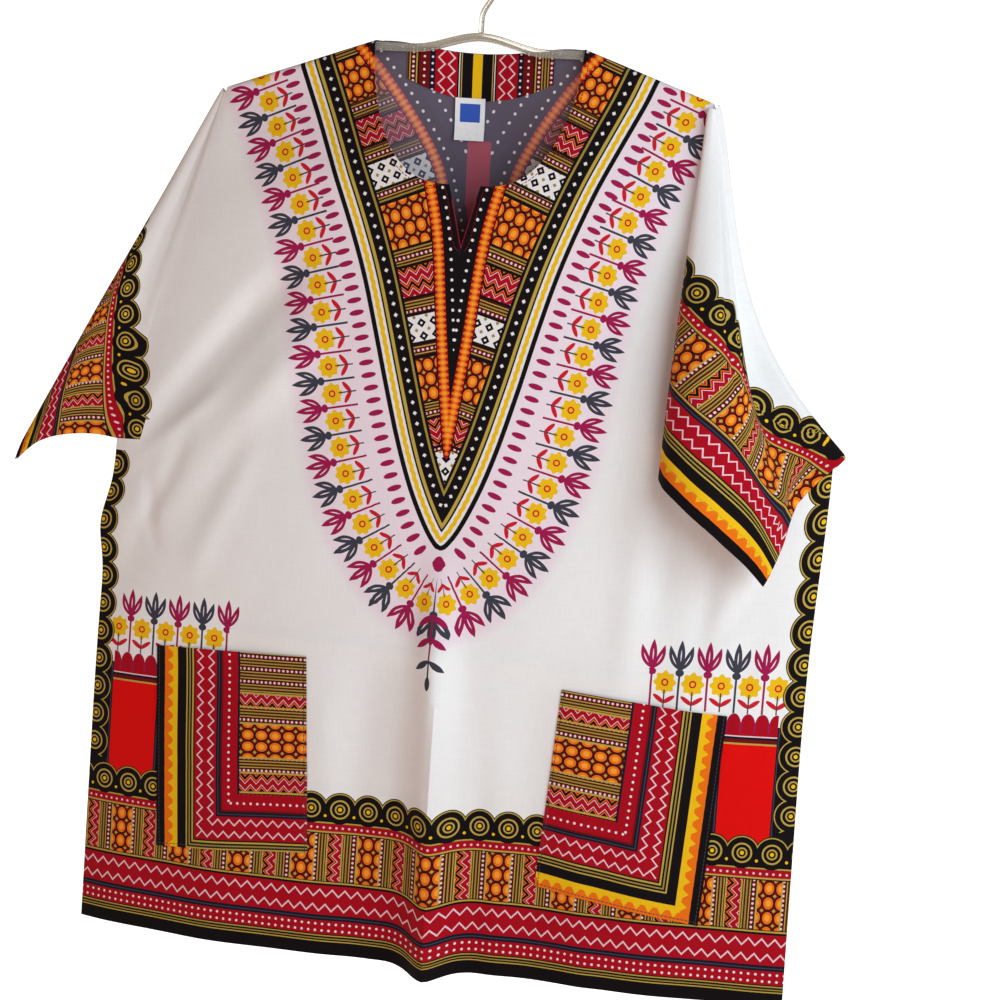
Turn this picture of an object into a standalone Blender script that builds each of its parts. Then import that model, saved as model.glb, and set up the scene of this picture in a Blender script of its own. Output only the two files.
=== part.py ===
# A loose printed cotton tunic with a round neck, a neck slit and two patch pockets, on a clear hanger.
# Metres, +Z up. X runs to the viewer's right, the front faces -Y, and the origin is the hook's seat.
import math

import bpy
import numpy as np

# Driving sizes. A drop is measured down from the neck points, a half width from the centre line.
NECK_LEVEL = -0.085
LENGTH = 0.795
NECK_HALF = 0.091
SHOULDER_SLOPE = 0.353
TIP_LEFT = 0.222
TIP_RIGHT = 0.203
ARMPIT_HALF = 0.315
ARMPIT_DROP = 0.360
HEM_HALF = 0.318
CUFF_HALF = 0.445
CLOTH = 0.0014
SEAM_GAP = 0.0003
HALF_STEP = CLOTH / 2 + SEAM_GAP / 2
SHARP_FROM = 50.0

# Front neckline, back neckline and slit.
SCOOP_DROP = 0.120
SLIT_HALF = 0.0135
SLIT_DROP = 0.172
BACK_NECK_DROP = 0.006
BACK_NECK_RISE = 0.004
SCOOP_FULLNESS = (0.78, 1.05)
BACK_NECK_SKEW = 1.6

# Patch pockets: a four-cornered patch, leaning a little, by half widths and drops of its corners.
POCKET_TOP = (0.113, 0.254)
POCKET_BOTTOM = (0.101, 0.243)
POCKET_TOP_DROP = (0.534, 0.539)
POCKET_BOTTOM_DROP = (0.706, 0.718)
RIGHT_POCKET_SAG = (0.007, 0.013)
POCKET_CLEARANCE = 0.0009
POCKET_GRID = (9, 10)

# Facing inside the back neck, and the label below it.
FACING_HALF = 0.064
FACING_DROP = 0.046
FACING_END_DROP = 0.030
FACING_INSET = 0.0006
FACING_GRID = (19, 4)
LABEL_CENTRE = -0.009
LABEL_WIDTH = 0.026
LABEL_TOP_DROP = 0.044
LABEL_LENGTH = 0.036
LABEL_CLOTH = 0.001
LABEL_GRID = (4, 4)
INNER_CLEARANCE = 0.0005

# Hanger: round arms with a raised arch at the middle, and an open hook.
ARM_RADIUS = 0.0035
ARM_CLEARANCE = 0.0004
ARM_HALF = 0.180
ARCH_RISE = 0.0065
HOOK_RADIUS = 0.018
HOOK_WIRE = 0.0025
HOOK_OPENS_AT = 200
HOOK_ENDS_AT = -61
HOOK_TURN = 15
NECK_BEND = 0.012
NECK_STRAIGHT = 0.010
ARM_STATIONS = 49

# Where the cloth hangs away from its flat cut, in the plane of the panels.
RIGHT_ARMPIT_SHIFT = (0.010, 0.034)
LEFT_ARMPIT_SHIFT = (-0.008, 0.000)
RIGHT_BOW = 0.031
LEFT_SIDE_FLARE = 0.008
HEM_DIP = 0.007
RIGHT_CORNER_DIP = 0.006
BOW_SKEW = 1.3
BOW_LIFT = 0.35
SHIFT_ROUNDING = 2.5
ARMPIT_FADE = (0.11, 0.10)
FLARE_PLACE = (0.435, 0.030)
HEM_DIP_PLACE = (0.013, 0.020)
HEM_SAG_FROM = 0.55

# Half depth of the body between front and back: (drop, half depth).
BODY_DEPTH = ((0.00, 0.010), (0.12, 0.020), (0.30, 0.024), (0.55, 0.026), (0.80, 0.030))

# How that depth rounds off: its rise from the shoulder seam, and the powers of the half width's share by
# which the body, the folds and the rim give way to each other.
BODY_RISE = (0.002, 0.11)
FOLD_RISE = (0.01, 0.08)
BODY_ROUNDING = 2.5
FOLD_ROUNDING = 4
RIM_ROUNDING = 24
ARMHOLE_OPEN = (0.0004, 0.0028)
FOLD_START = (-0.05, 0.35)
FOLD_END = (0.85, 1.15)

# Folds: (u start, drop start, u end, drop end, height out of the cloth, half width of the fold).
FRONT_FOLDS = (
    (0.000, 0.420, 0.013, 0.830, 0.020, 0.016),
    (-0.060, 0.480, -0.050, 0.830, -0.007, 0.030),
    (0.085, 0.500, 0.095, 0.830, -0.006, 0.030),
    (-0.130, 0.180, -0.300, 0.380, -0.010, 0.016),
    (-0.110, 0.230, -0.270, 0.440, 0.007, 0.018),
    (-0.150, 0.300, -0.320, 0.500, -0.006, 0.020),
    (0.270, 0.400, 0.215, 0.560, 0.006, 0.022),
    (-0.190, 0.560, -0.185, 0.830, 0.005, 0.040),
    (0.190, 0.600, 0.200, 0.830, 0.006, 0.040),
)
BACK_FOLDS = (
    (-0.010, 0.060, -0.020, 0.830, 0.008, 0.034),
    (-0.115, 0.300, -0.130, 0.830, 0.011, 0.024),
    (0.095, 0.260, 0.110, 0.830, 0.010, 0.026),
    (0.205, 0.420, 0.215, 0.830, -0.008, 0.028),
    (-0.205, 0.460, -0.215, 0.830, -0.007, 0.026),
    (0.030, 0.450, 0.045, 0.830, -0.007, 0.026),
)

# Section of each hanging sleeve, from the armhole (first row) to the shoulder seam (last row). Angles are
# in degrees: the flat one at the shoulder tip runs from the shoulder seam down, and the swing is counted
# from the armhole line. The rest is in millimetres, first near the shoulder tip and then at the cuff: how
# far the section is set aside, how far it stands off the body, and half the tube's thickness.
RIGHT_SLEEVE = (
    # flat angle, swing, aside near, far, stand-off near, far, half thickness near, far
    (71.7, 0.0, 0.0, 0.0, 0.0, 0.0, 1.1, 3.0),
    (71.3, 0.0, 1.0, 2.0, 0.0, 0.0, 1.1, 3.0),
    (70.8, 0.0, 3.3, 6.4, 1.0, 1.8, 1.1, 3.0),
    (70.2, 0.0, 4.2, 8.2, 3.2, 6.2, 1.1, 3.0),
    (69.6, -0.2, 3.3, 6.4, 5.4, 10.6, 1.1, 3.0),
    (68.2, -3.0, 0.0, 0.0, 6.4, 12.6, 1.1, 3.0),
    (66.4, -5.4, 0.0, 0.0, 6.4, 12.6, 1.3, 3.0),
    (64.8, -7.0, 0.0, 0.0, 6.6, 15.0, 1.3, 3.2),
    (62.4, -8.2, 0.0, 0.0, 6.9, 26.0, 1.3, 3.6),
    (59.6, -9.2, 0.0, 0.0, 7.4, 38.0, 1.3, 4.4),
    (56.6, -10.4, 0.0, 0.0, 8.0, 45.0, 1.3, 6.0),
    (52.9, -12.2, 0.0, 0.0, 8.8, 48.0, 1.3, 8.0),
    (47.5, -17.6, 0.0, 0.0, 9.6, 47.0, 1.3, 8.5),
    (43.0, -22.4, 0.0, 0.0, 10.0, 41.0, 1.3, 7.0),
    (40.6, -24.8, -2.0, -0.5, 9.2, 33.0, 1.1, 4.5),
    (39.2, -25.4, -2.9, -2.0, 7.1, 24.0, 1.1, 3.5),
    (37.8, -25.0, -2.0, -1.0, 5.0, 15.0, 1.1, 3.0),
    (35.4, -24.0, -0.8, 0.0, 4.3, 10.0, 1.0, 3.0),
    (29.0, -21.6, -0.9, 0.0, 4.2, 8.6, 1.0, 3.2),
    (19.5, -18.6, -0.9, 0.0, 4.2, 8.6, 1.0, 2.6),
)
LEFT_SLEEVE = (
    # flat angle, swing, aside near, far, stand-off near, far, half thickness near, far
    (71.7, 0.0, 0.0, 0.0, 0.0, 0.0, 1.1, 3.0),
    (70.6, 2.4, 0.3, 0.6, 0.0, -0.3, 1.1, 3.2),
    (67.0, 6.2, 0.0, 1.0, 0.0, -2.0, 1.1, 4.5),
    (60.0, 10.8, 0.0, 1.0, 0.0, -4.0, 1.1, 6.0),
    (54.6, 12.4, 0.0, 1.0, 0.0, -2.5, 1.1, 5.0),
    (52.4, 13.0, 2.6, 1.2, 1.0, 3.5, 1.1, 4.0),
    (50.8, 13.2, 3.8, 1.4, 3.5, 11.0, 1.1, 3.0),
    (49.2, 12.6, 2.6, 1.0, 6.0, 19.0, 1.1, 3.0),
    (46.0, 9.8, 0.0, 0.0, 7.0, 25.0, 1.1, 3.4),
    (38.0, 2.6, 0.0, 0.0, 7.0, 28.0, 1.1, 6.0),
    (29.0, -5.6, 0.0, 0.0, 6.2, 28.0, 1.1, 8.0),
    (22.4, -11.2, 0.0, 0.0, 5.8, 26.6, 1.1, 5.0),
    (19.5, -14.0, 0.0, 0.0, 5.4, 26.0, 1.1, 3.0),
)
SLEEVE_GROWTH = (0.02, 0.25)
SLEEVE_STEP = 9.0
EVEN_STEP = 0.004
ARMHOLE_GAP = 0.0008
UNDERARM_HALF = 0.0012
UNDERARM_BLEND = 9.0
UNSQUEEZED_FROM = 0.5
BOW_FADE = (0.1, 0.55)
SWING_OFF_BODY = (0.2, 7.0)
SHARE_OFF_BODY = (0.4, 0.5)

# Rows of the panels down to the armpit: the share of the armhole line, and the station on the front's
# inner edge, which runs 0 to 1 round the neck, 1 to 2 down the slit and 2 to 3 down the centre line.
UPPER_ROWS = (
    (0.0, 0.0),
    (0.003, 0.006),
    (0.008, 0.018),
    (0.016, 0.036),
    (0.032, 0.07),
    (0.06, 0.13),
    (0.10, 0.24),
    (0.15, 0.37),
    (0.21, 0.50),
    (0.28, 0.66),
    (0.35, 0.82),
    (0.43, 1.00),
    (0.52, 1.50),
    (0.61, 2.00),
    (0.70, 2.07),
    (0.80, 2.14),
    (0.90, 2.21),
    (1.00, 2.28),
)
SLEEVE_FIRST_ROW = 5
SHOULDER_COLUMNS = 5
LOWER_ROWS = 17
HALF_COLUMNS = 15


def smooth(value, low, high):
    t = np.clip((value - low) / (high - low), 0, 1)
    return t * t * (3 - 2 * t)


def shoulder_drop(u):
    return SHOULDER_SLOPE * np.maximum(np.abs(u) - NECK_HALF, 0)


def tip_of(side):
    reach = TIP_RIGHT if side > 0 else TIP_LEFT
    return np.array([reach, shoulder_drop(reach)])


def edge_half(v, side):
    """Half width of a body panel at a drop, along the armhole line and the side seam."""
    reach, drop = tip_of(side)
    armhole = reach + (ARMPIT_HALF - reach) * (v - drop) / (ARMPIT_DROP - drop)
    seam = ARMPIT_HALF + (HEM_HALF - ARMPIT_HALF) * (v - ARMPIT_DROP) / (LENGTH - ARMPIT_DROP)
    return np.where(v < ARMPIT_DROP, np.maximum(armhole, reach), seam)


def armhole_share(v, side):
    drop = tip_of(side)[1]
    return np.clip((v - drop) / (ARMPIT_DROP - drop), 0, 1)


def seam_distance(u, v):
    """Distance below the shoulder seam, or from the neck point inside the neck."""
    cosine = 1 / math.hypot(1, SHOULDER_SLOPE)
    below = (v - shoulder_drop(u)) * cosine
    inside = np.hypot(np.maximum(NECK_HALF - np.abs(u), 0), np.maximum(v, 0))
    return np.maximum(np.where(np.abs(u) < NECK_HALF, inside, below), 0)


def over_arm(distance):
    """Half depth of the cloth where it wraps over the hanger's arm."""
    wrap = ARM_RADIUS + ARM_CLEARANCE + CLOTH / 2
    rise = np.sqrt(1 - (1 - np.clip(distance / wrap, 0, 1)) ** 2)
    return HALF_STEP + (wrap - HALF_STEP + SEAM_GAP) * rise


def edge_depth(v, side):
    """Half depth at the edge of a panel: open along the armhole, closed at the side seam."""
    share = armhole_share(v, side)
    return HALF_STEP + ARMHOLE_OPEN[0] * (1 - share) + ARMHOLE_OPEN[1] * np.sin(math.pi * share)


def fold_height(u, v, folds):
    total = np.zeros_like(u)
    for u0, v0, u1, v1, height, width in folds:
        run = np.array([u1 - u0, v1 - v0])
        length = np.hypot(*run)
        along = ((u - u0) * run[0] + (v - v0) * run[1]) / length ** 2
        across = ((u - u0) * run[1] - (v - v0) * run[0]) / length
        ends = smooth(along, *FOLD_START) * (1 - smooth(along, *FOLD_END))
        total = total + height * ends * np.exp(-(across / width) ** 2)
    return total


def half_depth(u, v, folds):
    """Half depth of the body at a flat point of the front or back panel."""
    drops, depths = zip(*BODY_DEPTH)
    side = np.where(u >= 0, 1, -1)
    edge = np.where(side > 0, edge_half(v, 1), edge_half(v, -1))
    share = np.clip(np.abs(u) / edge, 0, 1)
    rim = np.where(side > 0, edge_depth(v, 1), edge_depth(v, -1))
    distance = seam_distance(u, v)
    body = np.interp(v, drops, depths) * smooth(distance, *BODY_RISE) * (1 - share ** BODY_ROUNDING)
    folded = fold_height(u, v, folds) * smooth(distance, *FOLD_RISE) * (1 - share ** FOLD_ROUNDING)
    inner = over_arm(distance) + body + folded
    blend = share ** RIM_ROUNDING
    return np.maximum(inner * (1 - blend) + rim * blend, HALF_STEP)


def mean_depth(u, v, folds):
    """Half depth of the body, evened out over a few millimetres across."""
    return np.mean([half_depth(u + step, v, folds) for step in (-EVEN_STEP, 0.0, EVEN_STEP)], axis=0)


def panel_shift(u, v):
    """How far a flat point of a panel hangs out of place, in x and z."""
    shift_x = np.zeros_like(u)
    shift_z = np.zeros_like(u)
    for side, armpit, bow in ((1, RIGHT_ARMPIT_SHIFT, RIGHT_BOW), (-1, LEFT_ARMPIT_SHIFT, 0.0)):
        reach = np.clip(u * side / edge_half(v, side), 0, 1) ** SHIFT_ROUNDING
        share = armhole_share(v, side)
        below = np.maximum(v - ARMPIT_DROP, 0)
        fade_x = np.exp(-(below / ARMPIT_FADE[0]) ** 2)
        fade_z = np.exp(-(below / ARMPIT_FADE[1]) ** 2)
        bend = bow * np.sin(math.pi * share ** BOW_SKEW)
        shift_x = shift_x + side * reach * (armpit[0] * share * fade_x - bend)
        shift_z = shift_z + reach * (armpit[1] * share * fade_z - BOW_LIFT * bend)
    at_flare = np.exp(-((v - FLARE_PLACE[0]) / FLARE_PLACE[1]) ** 2)
    shift_x = shift_x - LEFT_SIDE_FLARE * at_flare * np.clip(-u / HEM_HALF, 0, 1) ** 4
    near_hem = smooth(v, HEM_SAG_FROM, LENGTH)
    at_dip = np.exp(-((u - HEM_DIP_PLACE[0]) / HEM_DIP_PLACE[1]) ** 2)
    shift_z = shift_z - HEM_DIP * near_hem * at_dip
    shift_z = shift_z - RIGHT_CORNER_DIP * near_hem * np.clip(u / HEM_HALF, 0, 1) ** 3
    return shift_x, shift_z


def hang(u, v, folds, facing, lift=0.0):
    """Points of a panel from its flat points; facing is -1 for the front and 1 for the back."""
    u = np.asarray(u, float)
    v = np.asarray(v, float)
    shift_x, shift_z = panel_shift(u, v)
    depth = half_depth(u, v, folds) + lift
    return np.stack([u + shift_x, facing * depth, NECK_LEVEL - v + shift_z], axis=-1)


def scoop_point(share):
    """Right half of the round front neckline, from the neck point to the slit."""
    angle = share * math.pi / 2
    across = math.cos(angle) ** SCOOP_FULLNESS[0]
    down = math.sin(angle) ** SCOOP_FULLNESS[1]
    return np.array([SLIT_HALF + (NECK_HALF - SLIT_HALF) * across, SCOOP_DROP * down])


def front_inner(row):
    """Inner edge of the right half of the front: neckline, slit, then the centre line."""
    if row <= 1:
        return scoop_point(row)
    if row <= 2:
        return np.array([SLIT_HALF * (2 - row), SCOOP_DROP + (SLIT_DROP - SCOOP_DROP) * (row - 1)])
    return np.array([0.0, SLIT_DROP + (LENGTH - SLIT_DROP) * (row - 2)])


def outer_point(share, side):
    """Outer edge of a panel: the armhole line for 0 to 1, the side seam for 1 to 2."""
    tip = tip_of(side)
    armpit = np.array([ARMPIT_HALF, ARMPIT_DROP])
    if share <= 1:
        return tip + (armpit - tip) * share
    return armpit + (np.array([HEM_HALF, LENGTH]) - armpit) * (share - 1)


def front_rows():
    """Pairs of stations on the inner and outer edges of the front."""
    rows = [(inner, outer) for outer, inner in UPPER_ROWS]
    armpit = rows[-1][0]
    for share in np.linspace(0, 1, LOWER_ROWS + 1)[1:]:
        rows.append((armpit + (3 - armpit) * share, 1 + share))
    return rows


def grid_faces(rows, columns):
    faces = []
    for i in range(rows - 1):
        for j in range(columns - 1):
            a = i * columns + j
            faces.append((a, a + columns, a + columns + 1, a + 1))
    return faces


def add_sheet(name, points, faces, material, flip=False, thickness=CLOTH):
    """A cloth piece: an open surface with thickness on both sides of it."""
    if flip:
        faces = [tuple(reversed(face)) for face in faces]
    mesh = bpy.data.meshes.new(name)
    mesh.from_pydata([tuple(map(float, p)) for p in points], [], faces)
    mesh.update()
    piece = bpy.data.objects.new(name, mesh)
    garment.objects.link(piece)
    solid = piece.modifiers.new("Cloth", "SOLIDIFY")
    solid.thickness = thickness
    solid.offset = 0
    mesh.materials.append(material)
    mesh.shade_smooth()
    mesh.set_sharp_from_angle(angle=math.radians(SHARP_FROM))
    return piece


def make_material(name, colour, roughness, alpha=1.0):
    material = bpy.data.materials.new(name)
    material.use_nodes = True
    shader = material.node_tree.nodes["Principled BSDF"]
    shader.inputs["Base Color"].default_value = (*colour, 1)
    shader.inputs["Roughness"].default_value = roughness
    shader.inputs["Metallic"].default_value = 0
    shader.inputs["Alpha"].default_value = alpha
    return material


def front_panel():
    """Both halves of the front, which share the centre line below the slit."""
    columns = HALF_COLUMNS
    rows = front_rows()
    points = []
    index = {}
    spread = np.linspace(0, 1, columns)
    for i, (inner_station, outer_station) in enumerate(rows):
        inner = front_inner(inner_station)
        for side in (-1, 1):
            outer = outer_point(outer_station, side)
            for j, t in enumerate(spread):
                if side < 0 and j == 0 and inner_station >= 2:
                    continue
                u, v = inner + (outer - inner) * t
                index[side, i, j] = len(points)
                points.append((side * u, v))
    for i, (inner_station, _) in enumerate(rows):
        if inner_station >= 2:
            index[-1, i, 0] = index[1, i, 0]
    faces = []
    for side in (-1, 1):
        for i in range(len(rows) - 1):
            for j in range(columns - 1):
                places = ((i, j), (i + 1, j), (i + 1, j + 1), (i, j + 1))
                quad = [index[side, row, column] for row, column in places]
                faces.append(tuple(quad if side > 0 else reversed(quad)))
    u, v = np.array(points).T
    return add_sheet("front_panel", hang(u, v, FRONT_FOLDS, -1), faces, cotton)


def back_neck_drop(u):
    share = np.clip(np.abs(u) / NECK_HALF, 0, 1)
    rise = np.sin(math.pi * share ** BACK_NECK_SKEW) * share
    return BACK_NECK_DROP * (1 - share ** 2) - BACK_NECK_RISE * rise


def back_panel():
    columns = HALF_COLUMNS
    stations = [outer for _, outer in front_rows()]
    across = np.linspace(0, 1, columns - SHOULDER_COLUMNS)
    points = []
    for station in stations:
        row = []
        for side in (-1, 1):
            outer = outer_point(station, side)
            tip = tip_of(side)
            level = outer[1] - tip[1] if station <= 1 else outer[1]
            half = []
            neck_share = NECK_HALF / tip[0]
            for t in across:
                half.append((t * neck_share, back_neck_drop(t * NECK_HALF)))
            for t in np.linspace(0, 1, SHOULDER_COLUMNS + 1)[1:]:
                top = shoulder_drop(NECK_HALF + (tip[0] - NECK_HALF) * t)
                half.append((neck_share + (1 - neck_share) * t, top))
            for share, top in half:
                drop = level
                if station <= 1:
                    fade = smooth(np.array(station), 0.0, 1.0)
                    drop = (level + (outer[1] - level) * share ** 2) * fade
                    drop = drop + (top + outer[1] - tip[1]) * (1 - fade)
                row.append((side * share * outer[0], float(drop)))
        left = row[:columns][::-1]
        right = row[columns:]
        points.extend(left + right[1:])
    width = 2 * columns - 1
    u, v = np.array(points).T
    faces = grid_faces(len(stations), width)
    return add_sheet("back_panel", hang(u, v, BACK_FOLDS, 1), faces, cotton, flip=True)


def curve_through(x, y, wanted):
    """A cubic through the points of a table that doesn't overshoot them."""
    slope = np.diff(y) / np.diff(x)
    tangent = np.zeros_like(y)
    both = slope[:-1] * slope[1:]
    steady = both > 0
    tangent[1:-1][steady] = 2 * both[steady] / (slope[:-1] + slope[1:])[steady]
    tangent[0] = slope[0]
    tangent[-1] = slope[-1]
    i = np.clip(np.searchsorted(x, wanted) - 1, 0, len(x) - 2)
    width = x[i + 1] - x[i]
    t = (wanted - x[i]) / width
    start = (2 * t ** 3 - 3 * t ** 2 + 1) * y[i] + (t ** 3 - 2 * t ** 2 + t) * width * tangent[i]
    return start + (3 * t ** 2 - 2 * t ** 3) * y[i + 1] + (t ** 3 - t ** 2) * width * tangent[i + 1]


def sleeve_section(table, corner):
    """Stations along a sleeve's section, with one of them at the corner of the cuff and the underarm."""
    rows = np.array(table, float)
    step = np.hypot(np.diff(rows[:, 1] * 4.0 + rows[:, 3]), np.diff(rows[:, 5]))
    station = np.concatenate([[0], np.cumsum(step + 0.5)])
    wanted = [0.0]
    for low, high in zip(station[:-1], station[1:]):
        parts = max(1, round((high - low) / SLEEVE_STEP))
        wanted.extend(low + (high - low) * k / parts for k in range(1, parts + 1))
    wanted = np.array(wanted)
    at_corner = np.interp(-corner, -rows[:, 0], station)
    wanted[np.argmin(np.abs(wanted - at_corner))] = at_corner
    return [curve_through(station, rows[:, k], wanted) for k in range(rows.shape[1])]


def sleeve(name, side, table, folds, facing):
    """A sleeve that hangs from the shoulder tip as a flattened tube, folded over on itself."""
    tip = tip_of(side)
    armpit = np.array([ARMPIT_HALF, ARMPIT_DROP])
    shift_x, shift_drop = RIGHT_ARMPIT_SHIFT if side > 0 else LEFT_ARMPIT_SHIFT
    hung = armpit + np.array([shift_x, -shift_drop])
    bow = RIGHT_BOW if side > 0 else 0.0
    line = math.atan2(hung[0] - tip[0], hung[1] - tip[1])
    armhole = np.hypot(*(armpit - tip))
    squeeze = np.hypot(*(hung - tip)) / armhole
    corner = math.degrees(math.atan2(ARMPIT_DROP - tip[1], CUFF_HALF - tip[0]))
    first = math.degrees(math.atan2(ARMPIT_DROP - tip[1], ARMPIT_HALF - tip[0]))
    section = sleeve_section(table, corner)
    angle, swing, aside_near, aside_far, off_near, off_far, half_near, half_far = section
    stretch = (first - corner) / (table[0][0] - corner)
    angle = np.where(angle > corner, corner + (angle - corner) * stretch, angle)
    to_cuff = (CUFF_HALF - tip[0]) / np.cos(np.radians(angle))
    to_seam = (ARMPIT_DROP - tip[1]) / np.sin(np.radians(angle))
    reach = np.where(angle > corner, to_seam, to_cuff)
    closed = smooth(angle, corner - UNDERARM_BLEND, corner)
    columns = len(angle)
    share = np.linspace(0, 1, columns)
    at_armhole = np.clip(1 - np.arange(columns) / 2, 0, 1)
    bent = 1 - smooth(share, *BOW_FADE)
    off_body = np.maximum(smooth(np.abs(swing), *SWING_OFF_BODY), smooth(share, *SHARE_OFF_BODY))
    stations = [outer for outer, _ in UPPER_ROWS[SLEEVE_FIRST_ROW:]]
    points = []
    for down in stations:
        flat = reach * down
        radius = flat * (squeeze + (1 - squeeze) * smooth(share, 0.0, UNSQUEEZED_FROM))
        far = smooth(flat, *SLEEVE_GROWTH)
        along = radius * np.radians(swing) + (aside_near + (aside_far - aside_near) * far) / 1000
        depth = (off_near + (off_far - off_near) * far) / 1000
        tube = (half_near + (half_far - half_near) * far) / 1000
        tube = UNDERARM_HALF + (tube - UNDERARM_HALF) * (1 - closed * down ** 3)
        edge_share = np.clip(flat / armhole, 0, 1)
        rim = edge_depth(tip[1] + (ARMPIT_DROP - tip[1]) * edge_share, side)
        tube = tube + (rim - tube) * at_armhole
        bend = bow * np.sin(math.pi * edge_share ** BOW_SKEW) * bent
        turn = line + along / radius
        middle_x = tip[0] + radius * np.sin(turn) + ARMHOLE_GAP - bend
        middle_v = tip[1] + radius * np.cos(turn) + BOW_LIFT * bend
        depth = depth + (mean_depth(side * middle_x, middle_v, folds) - HALF_STEP) * off_body
        ahead = np.gradient(along)
        climb = np.gradient(depth)
        climb[0] = 0
        size = np.hypot(ahead, climb)
        row = []
        for layer in (1, -1):
            turn = line + (along - layer * tube * climb / size) / radius
            x = tip[0] + radius * np.sin(turn) + ARMHOLE_GAP - bend
            v = tip[1] + radius * np.cos(turn) + BOW_LIFT * bend
            y = facing * (depth + layer * tube * ahead / size)
            row.append(np.stack([side * x, y, NECK_LEVEL - v], axis=-1))
        points.extend(row[0])
        points.extend(row[1][::-1])
    faces = grid_faces(len(stations), 2 * columns)
    return add_sheet(name, points, faces, cotton, flip=side * facing > 0)


def patch(name, corners, folds, facing, lift, grid, material, thickness=CLOTH):
    """A flat patch on a panel: its four flat corners, top left, top right, bottom left, bottom right."""
    columns, rows = grid
    top_left, top_right, bottom_left, bottom_right = (np.array(c) for c in corners)
    across = np.linspace(0, 1, columns)
    flat = []
    for t in np.linspace(0, 1, rows):
        left = top_left + (bottom_left - top_left) * t
        right = top_right + (bottom_right - top_right) * t
        flat.extend(left + (right - left) * s for s in across)
    u, v = np.array(flat).T
    points = hang(u, v, folds, facing, lift)
    faces = grid_faces(rows, columns)
    return add_sheet(name, points, faces, material, flip=facing > 0, thickness=thickness)


def pocket(name, side):
    sag = RIGHT_POCKET_SAG if side > 0 else (0.0, 0.0)
    corners = []
    for halves, drops in ((POCKET_TOP, POCKET_TOP_DROP), (POCKET_BOTTOM, POCKET_BOTTOM_DROP)):
        pair = [(side * halves[k], drops[k] + sag[k]) for k in (0, 1)]
        corners.extend(pair if side > 0 else reversed(pair))
    return patch(name, corners, FRONT_FOLDS, -1, CLOTH + POCKET_CLEARANCE, POCKET_GRID, cotton)


def back_neck_facing():
    """A strip that lies inside the back neck, with a curved lower edge."""
    columns, rows = FACING_GRID
    flat = []
    for t in np.linspace(0, 1, rows):
        for u in np.linspace(-FACING_HALF, FACING_HALF, columns):
            share = abs(u) / FACING_HALF
            top = back_neck_drop(u) + FACING_INSET
            low = FACING_DROP + (FACING_END_DROP - FACING_DROP) * share ** 2
            flat.append((u, float(top + (low - top) * t)))
    u, v = np.array(flat).T
    points = hang(u, v, BACK_FOLDS, 1, -(CLOTH + INNER_CLEARANCE))
    return add_sheet("back_neck_facing", points, grid_faces(rows, columns), cotton, flip=True)


def label():
    left = LABEL_CENTRE - LABEL_WIDTH / 2
    right = LABEL_CENTRE + LABEL_WIDTH / 2
    bottom = LABEL_TOP_DROP + LABEL_LENGTH
    corners = [(left, LABEL_TOP_DROP), (right, LABEL_TOP_DROP), (left, bottom), (right, bottom)]
    lift = -2 * (CLOTH + INNER_CLEARANCE)
    return patch("label", corners, BACK_FOLDS, 1, lift, LABEL_GRID, satin, thickness=LABEL_CLOTH)


def tube_curve(name, points, radius, material):
    """A round bar through points, with closed ends."""
    curve = bpy.data.curves.new(name, "CURVE")
    curve.dimensions = "3D"
    curve.bevel_depth = radius
    curve.bevel_resolution = 2
    curve.use_fill_caps = True
    spline = curve.splines.new("POLY")
    spline.points.add(len(points) - 1)
    for point, place in zip(spline.points, points):
        point.co = (*place, 1)
    piece = bpy.data.objects.new(name, curve)
    garment.objects.link(piece)
    curve.materials.append(material)
    return piece


def arm_height(x):
    """Centre of the hanger's arm under the shoulder seam, rising to the arch at the middle."""
    cosine = 1 / math.hypot(1, SHOULDER_SLOPE)
    below = (ARM_RADIUS + ARM_CLEARANCE + CLOTH / 2) / cosine
    line = -SHOULDER_SLOPE * max(abs(x) - NECK_HALF, 0) - below
    arch = (below + ARCH_RISE) * (1 - float(smooth(np.array(abs(x)), 0.0, NECK_HALF)))
    return NECK_LEVEL + line + arch


def hanger():
    reach = np.linspace(-ARM_HALF, ARM_HALF, ARM_STATIONS)
    tube_curve("hanger_arms", [(x, 0.0, arm_height(x)) for x in reach], ARM_RADIUS, clear_plastic)
    bend = HOOK_RADIUS + HOOK_WIRE
    centre = -HOOK_RADIUS
    arc = [math.radians(a) for a in range(HOOK_OPENS_AT, HOOK_ENDS_AT, -HOOK_TURN)]
    route = [(bend * math.cos(a), 0.0, centre + bend * math.sin(a)) for a in arc]
    foot = arm_height(0.0) + ARM_RADIUS + SEAM_GAP
    last = route[-1]
    for t in (0.3, 0.6, 0.85):
        ease = t * t * (3 - 2 * t)
        route.append((last[0] * (1 - ease), 0.0, last[2] + (foot + NECK_BEND - last[2]) * t))
    route += [(0.0, 0.0, foot + NECK_STRAIGHT), (0.0, 0.0, foot)]
    tube_curve("hanger_hook", route, HOOK_WIRE, clear_plastic)


for old in list(bpy.data.objects):
    bpy.data.objects.remove(old)

garment = bpy.data.collections.new("printed_tunic")
bpy.context.scene.collection.children.link(garment)
cotton = make_material("cotton", (0.84, 0.81, 0.80), 0.9)
satin = make_material("satin_label", (0.85, 0.85, 0.86), 0.6)
clear_plastic = make_material("clear_plastic", (0.86, 0.84, 0.78), 0.15, 0.35)

front_panel()
back_panel()
sleeve("sleeve_right", 1, RIGHT_SLEEVE, FRONT_FOLDS, -1)
sleeve("sleeve_left", -1, LEFT_SLEEVE, BACK_FOLDS, 1)
pocket("pocket_left", -1)
pocket("pocket_right", 1)
back_neck_facing()
label()
hanger()
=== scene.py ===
# A printed cotton pullover tunic on a clear hanger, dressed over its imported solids.
import math

import bpy
import numpy as np
from mathutils import Matrix, Vector


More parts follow.
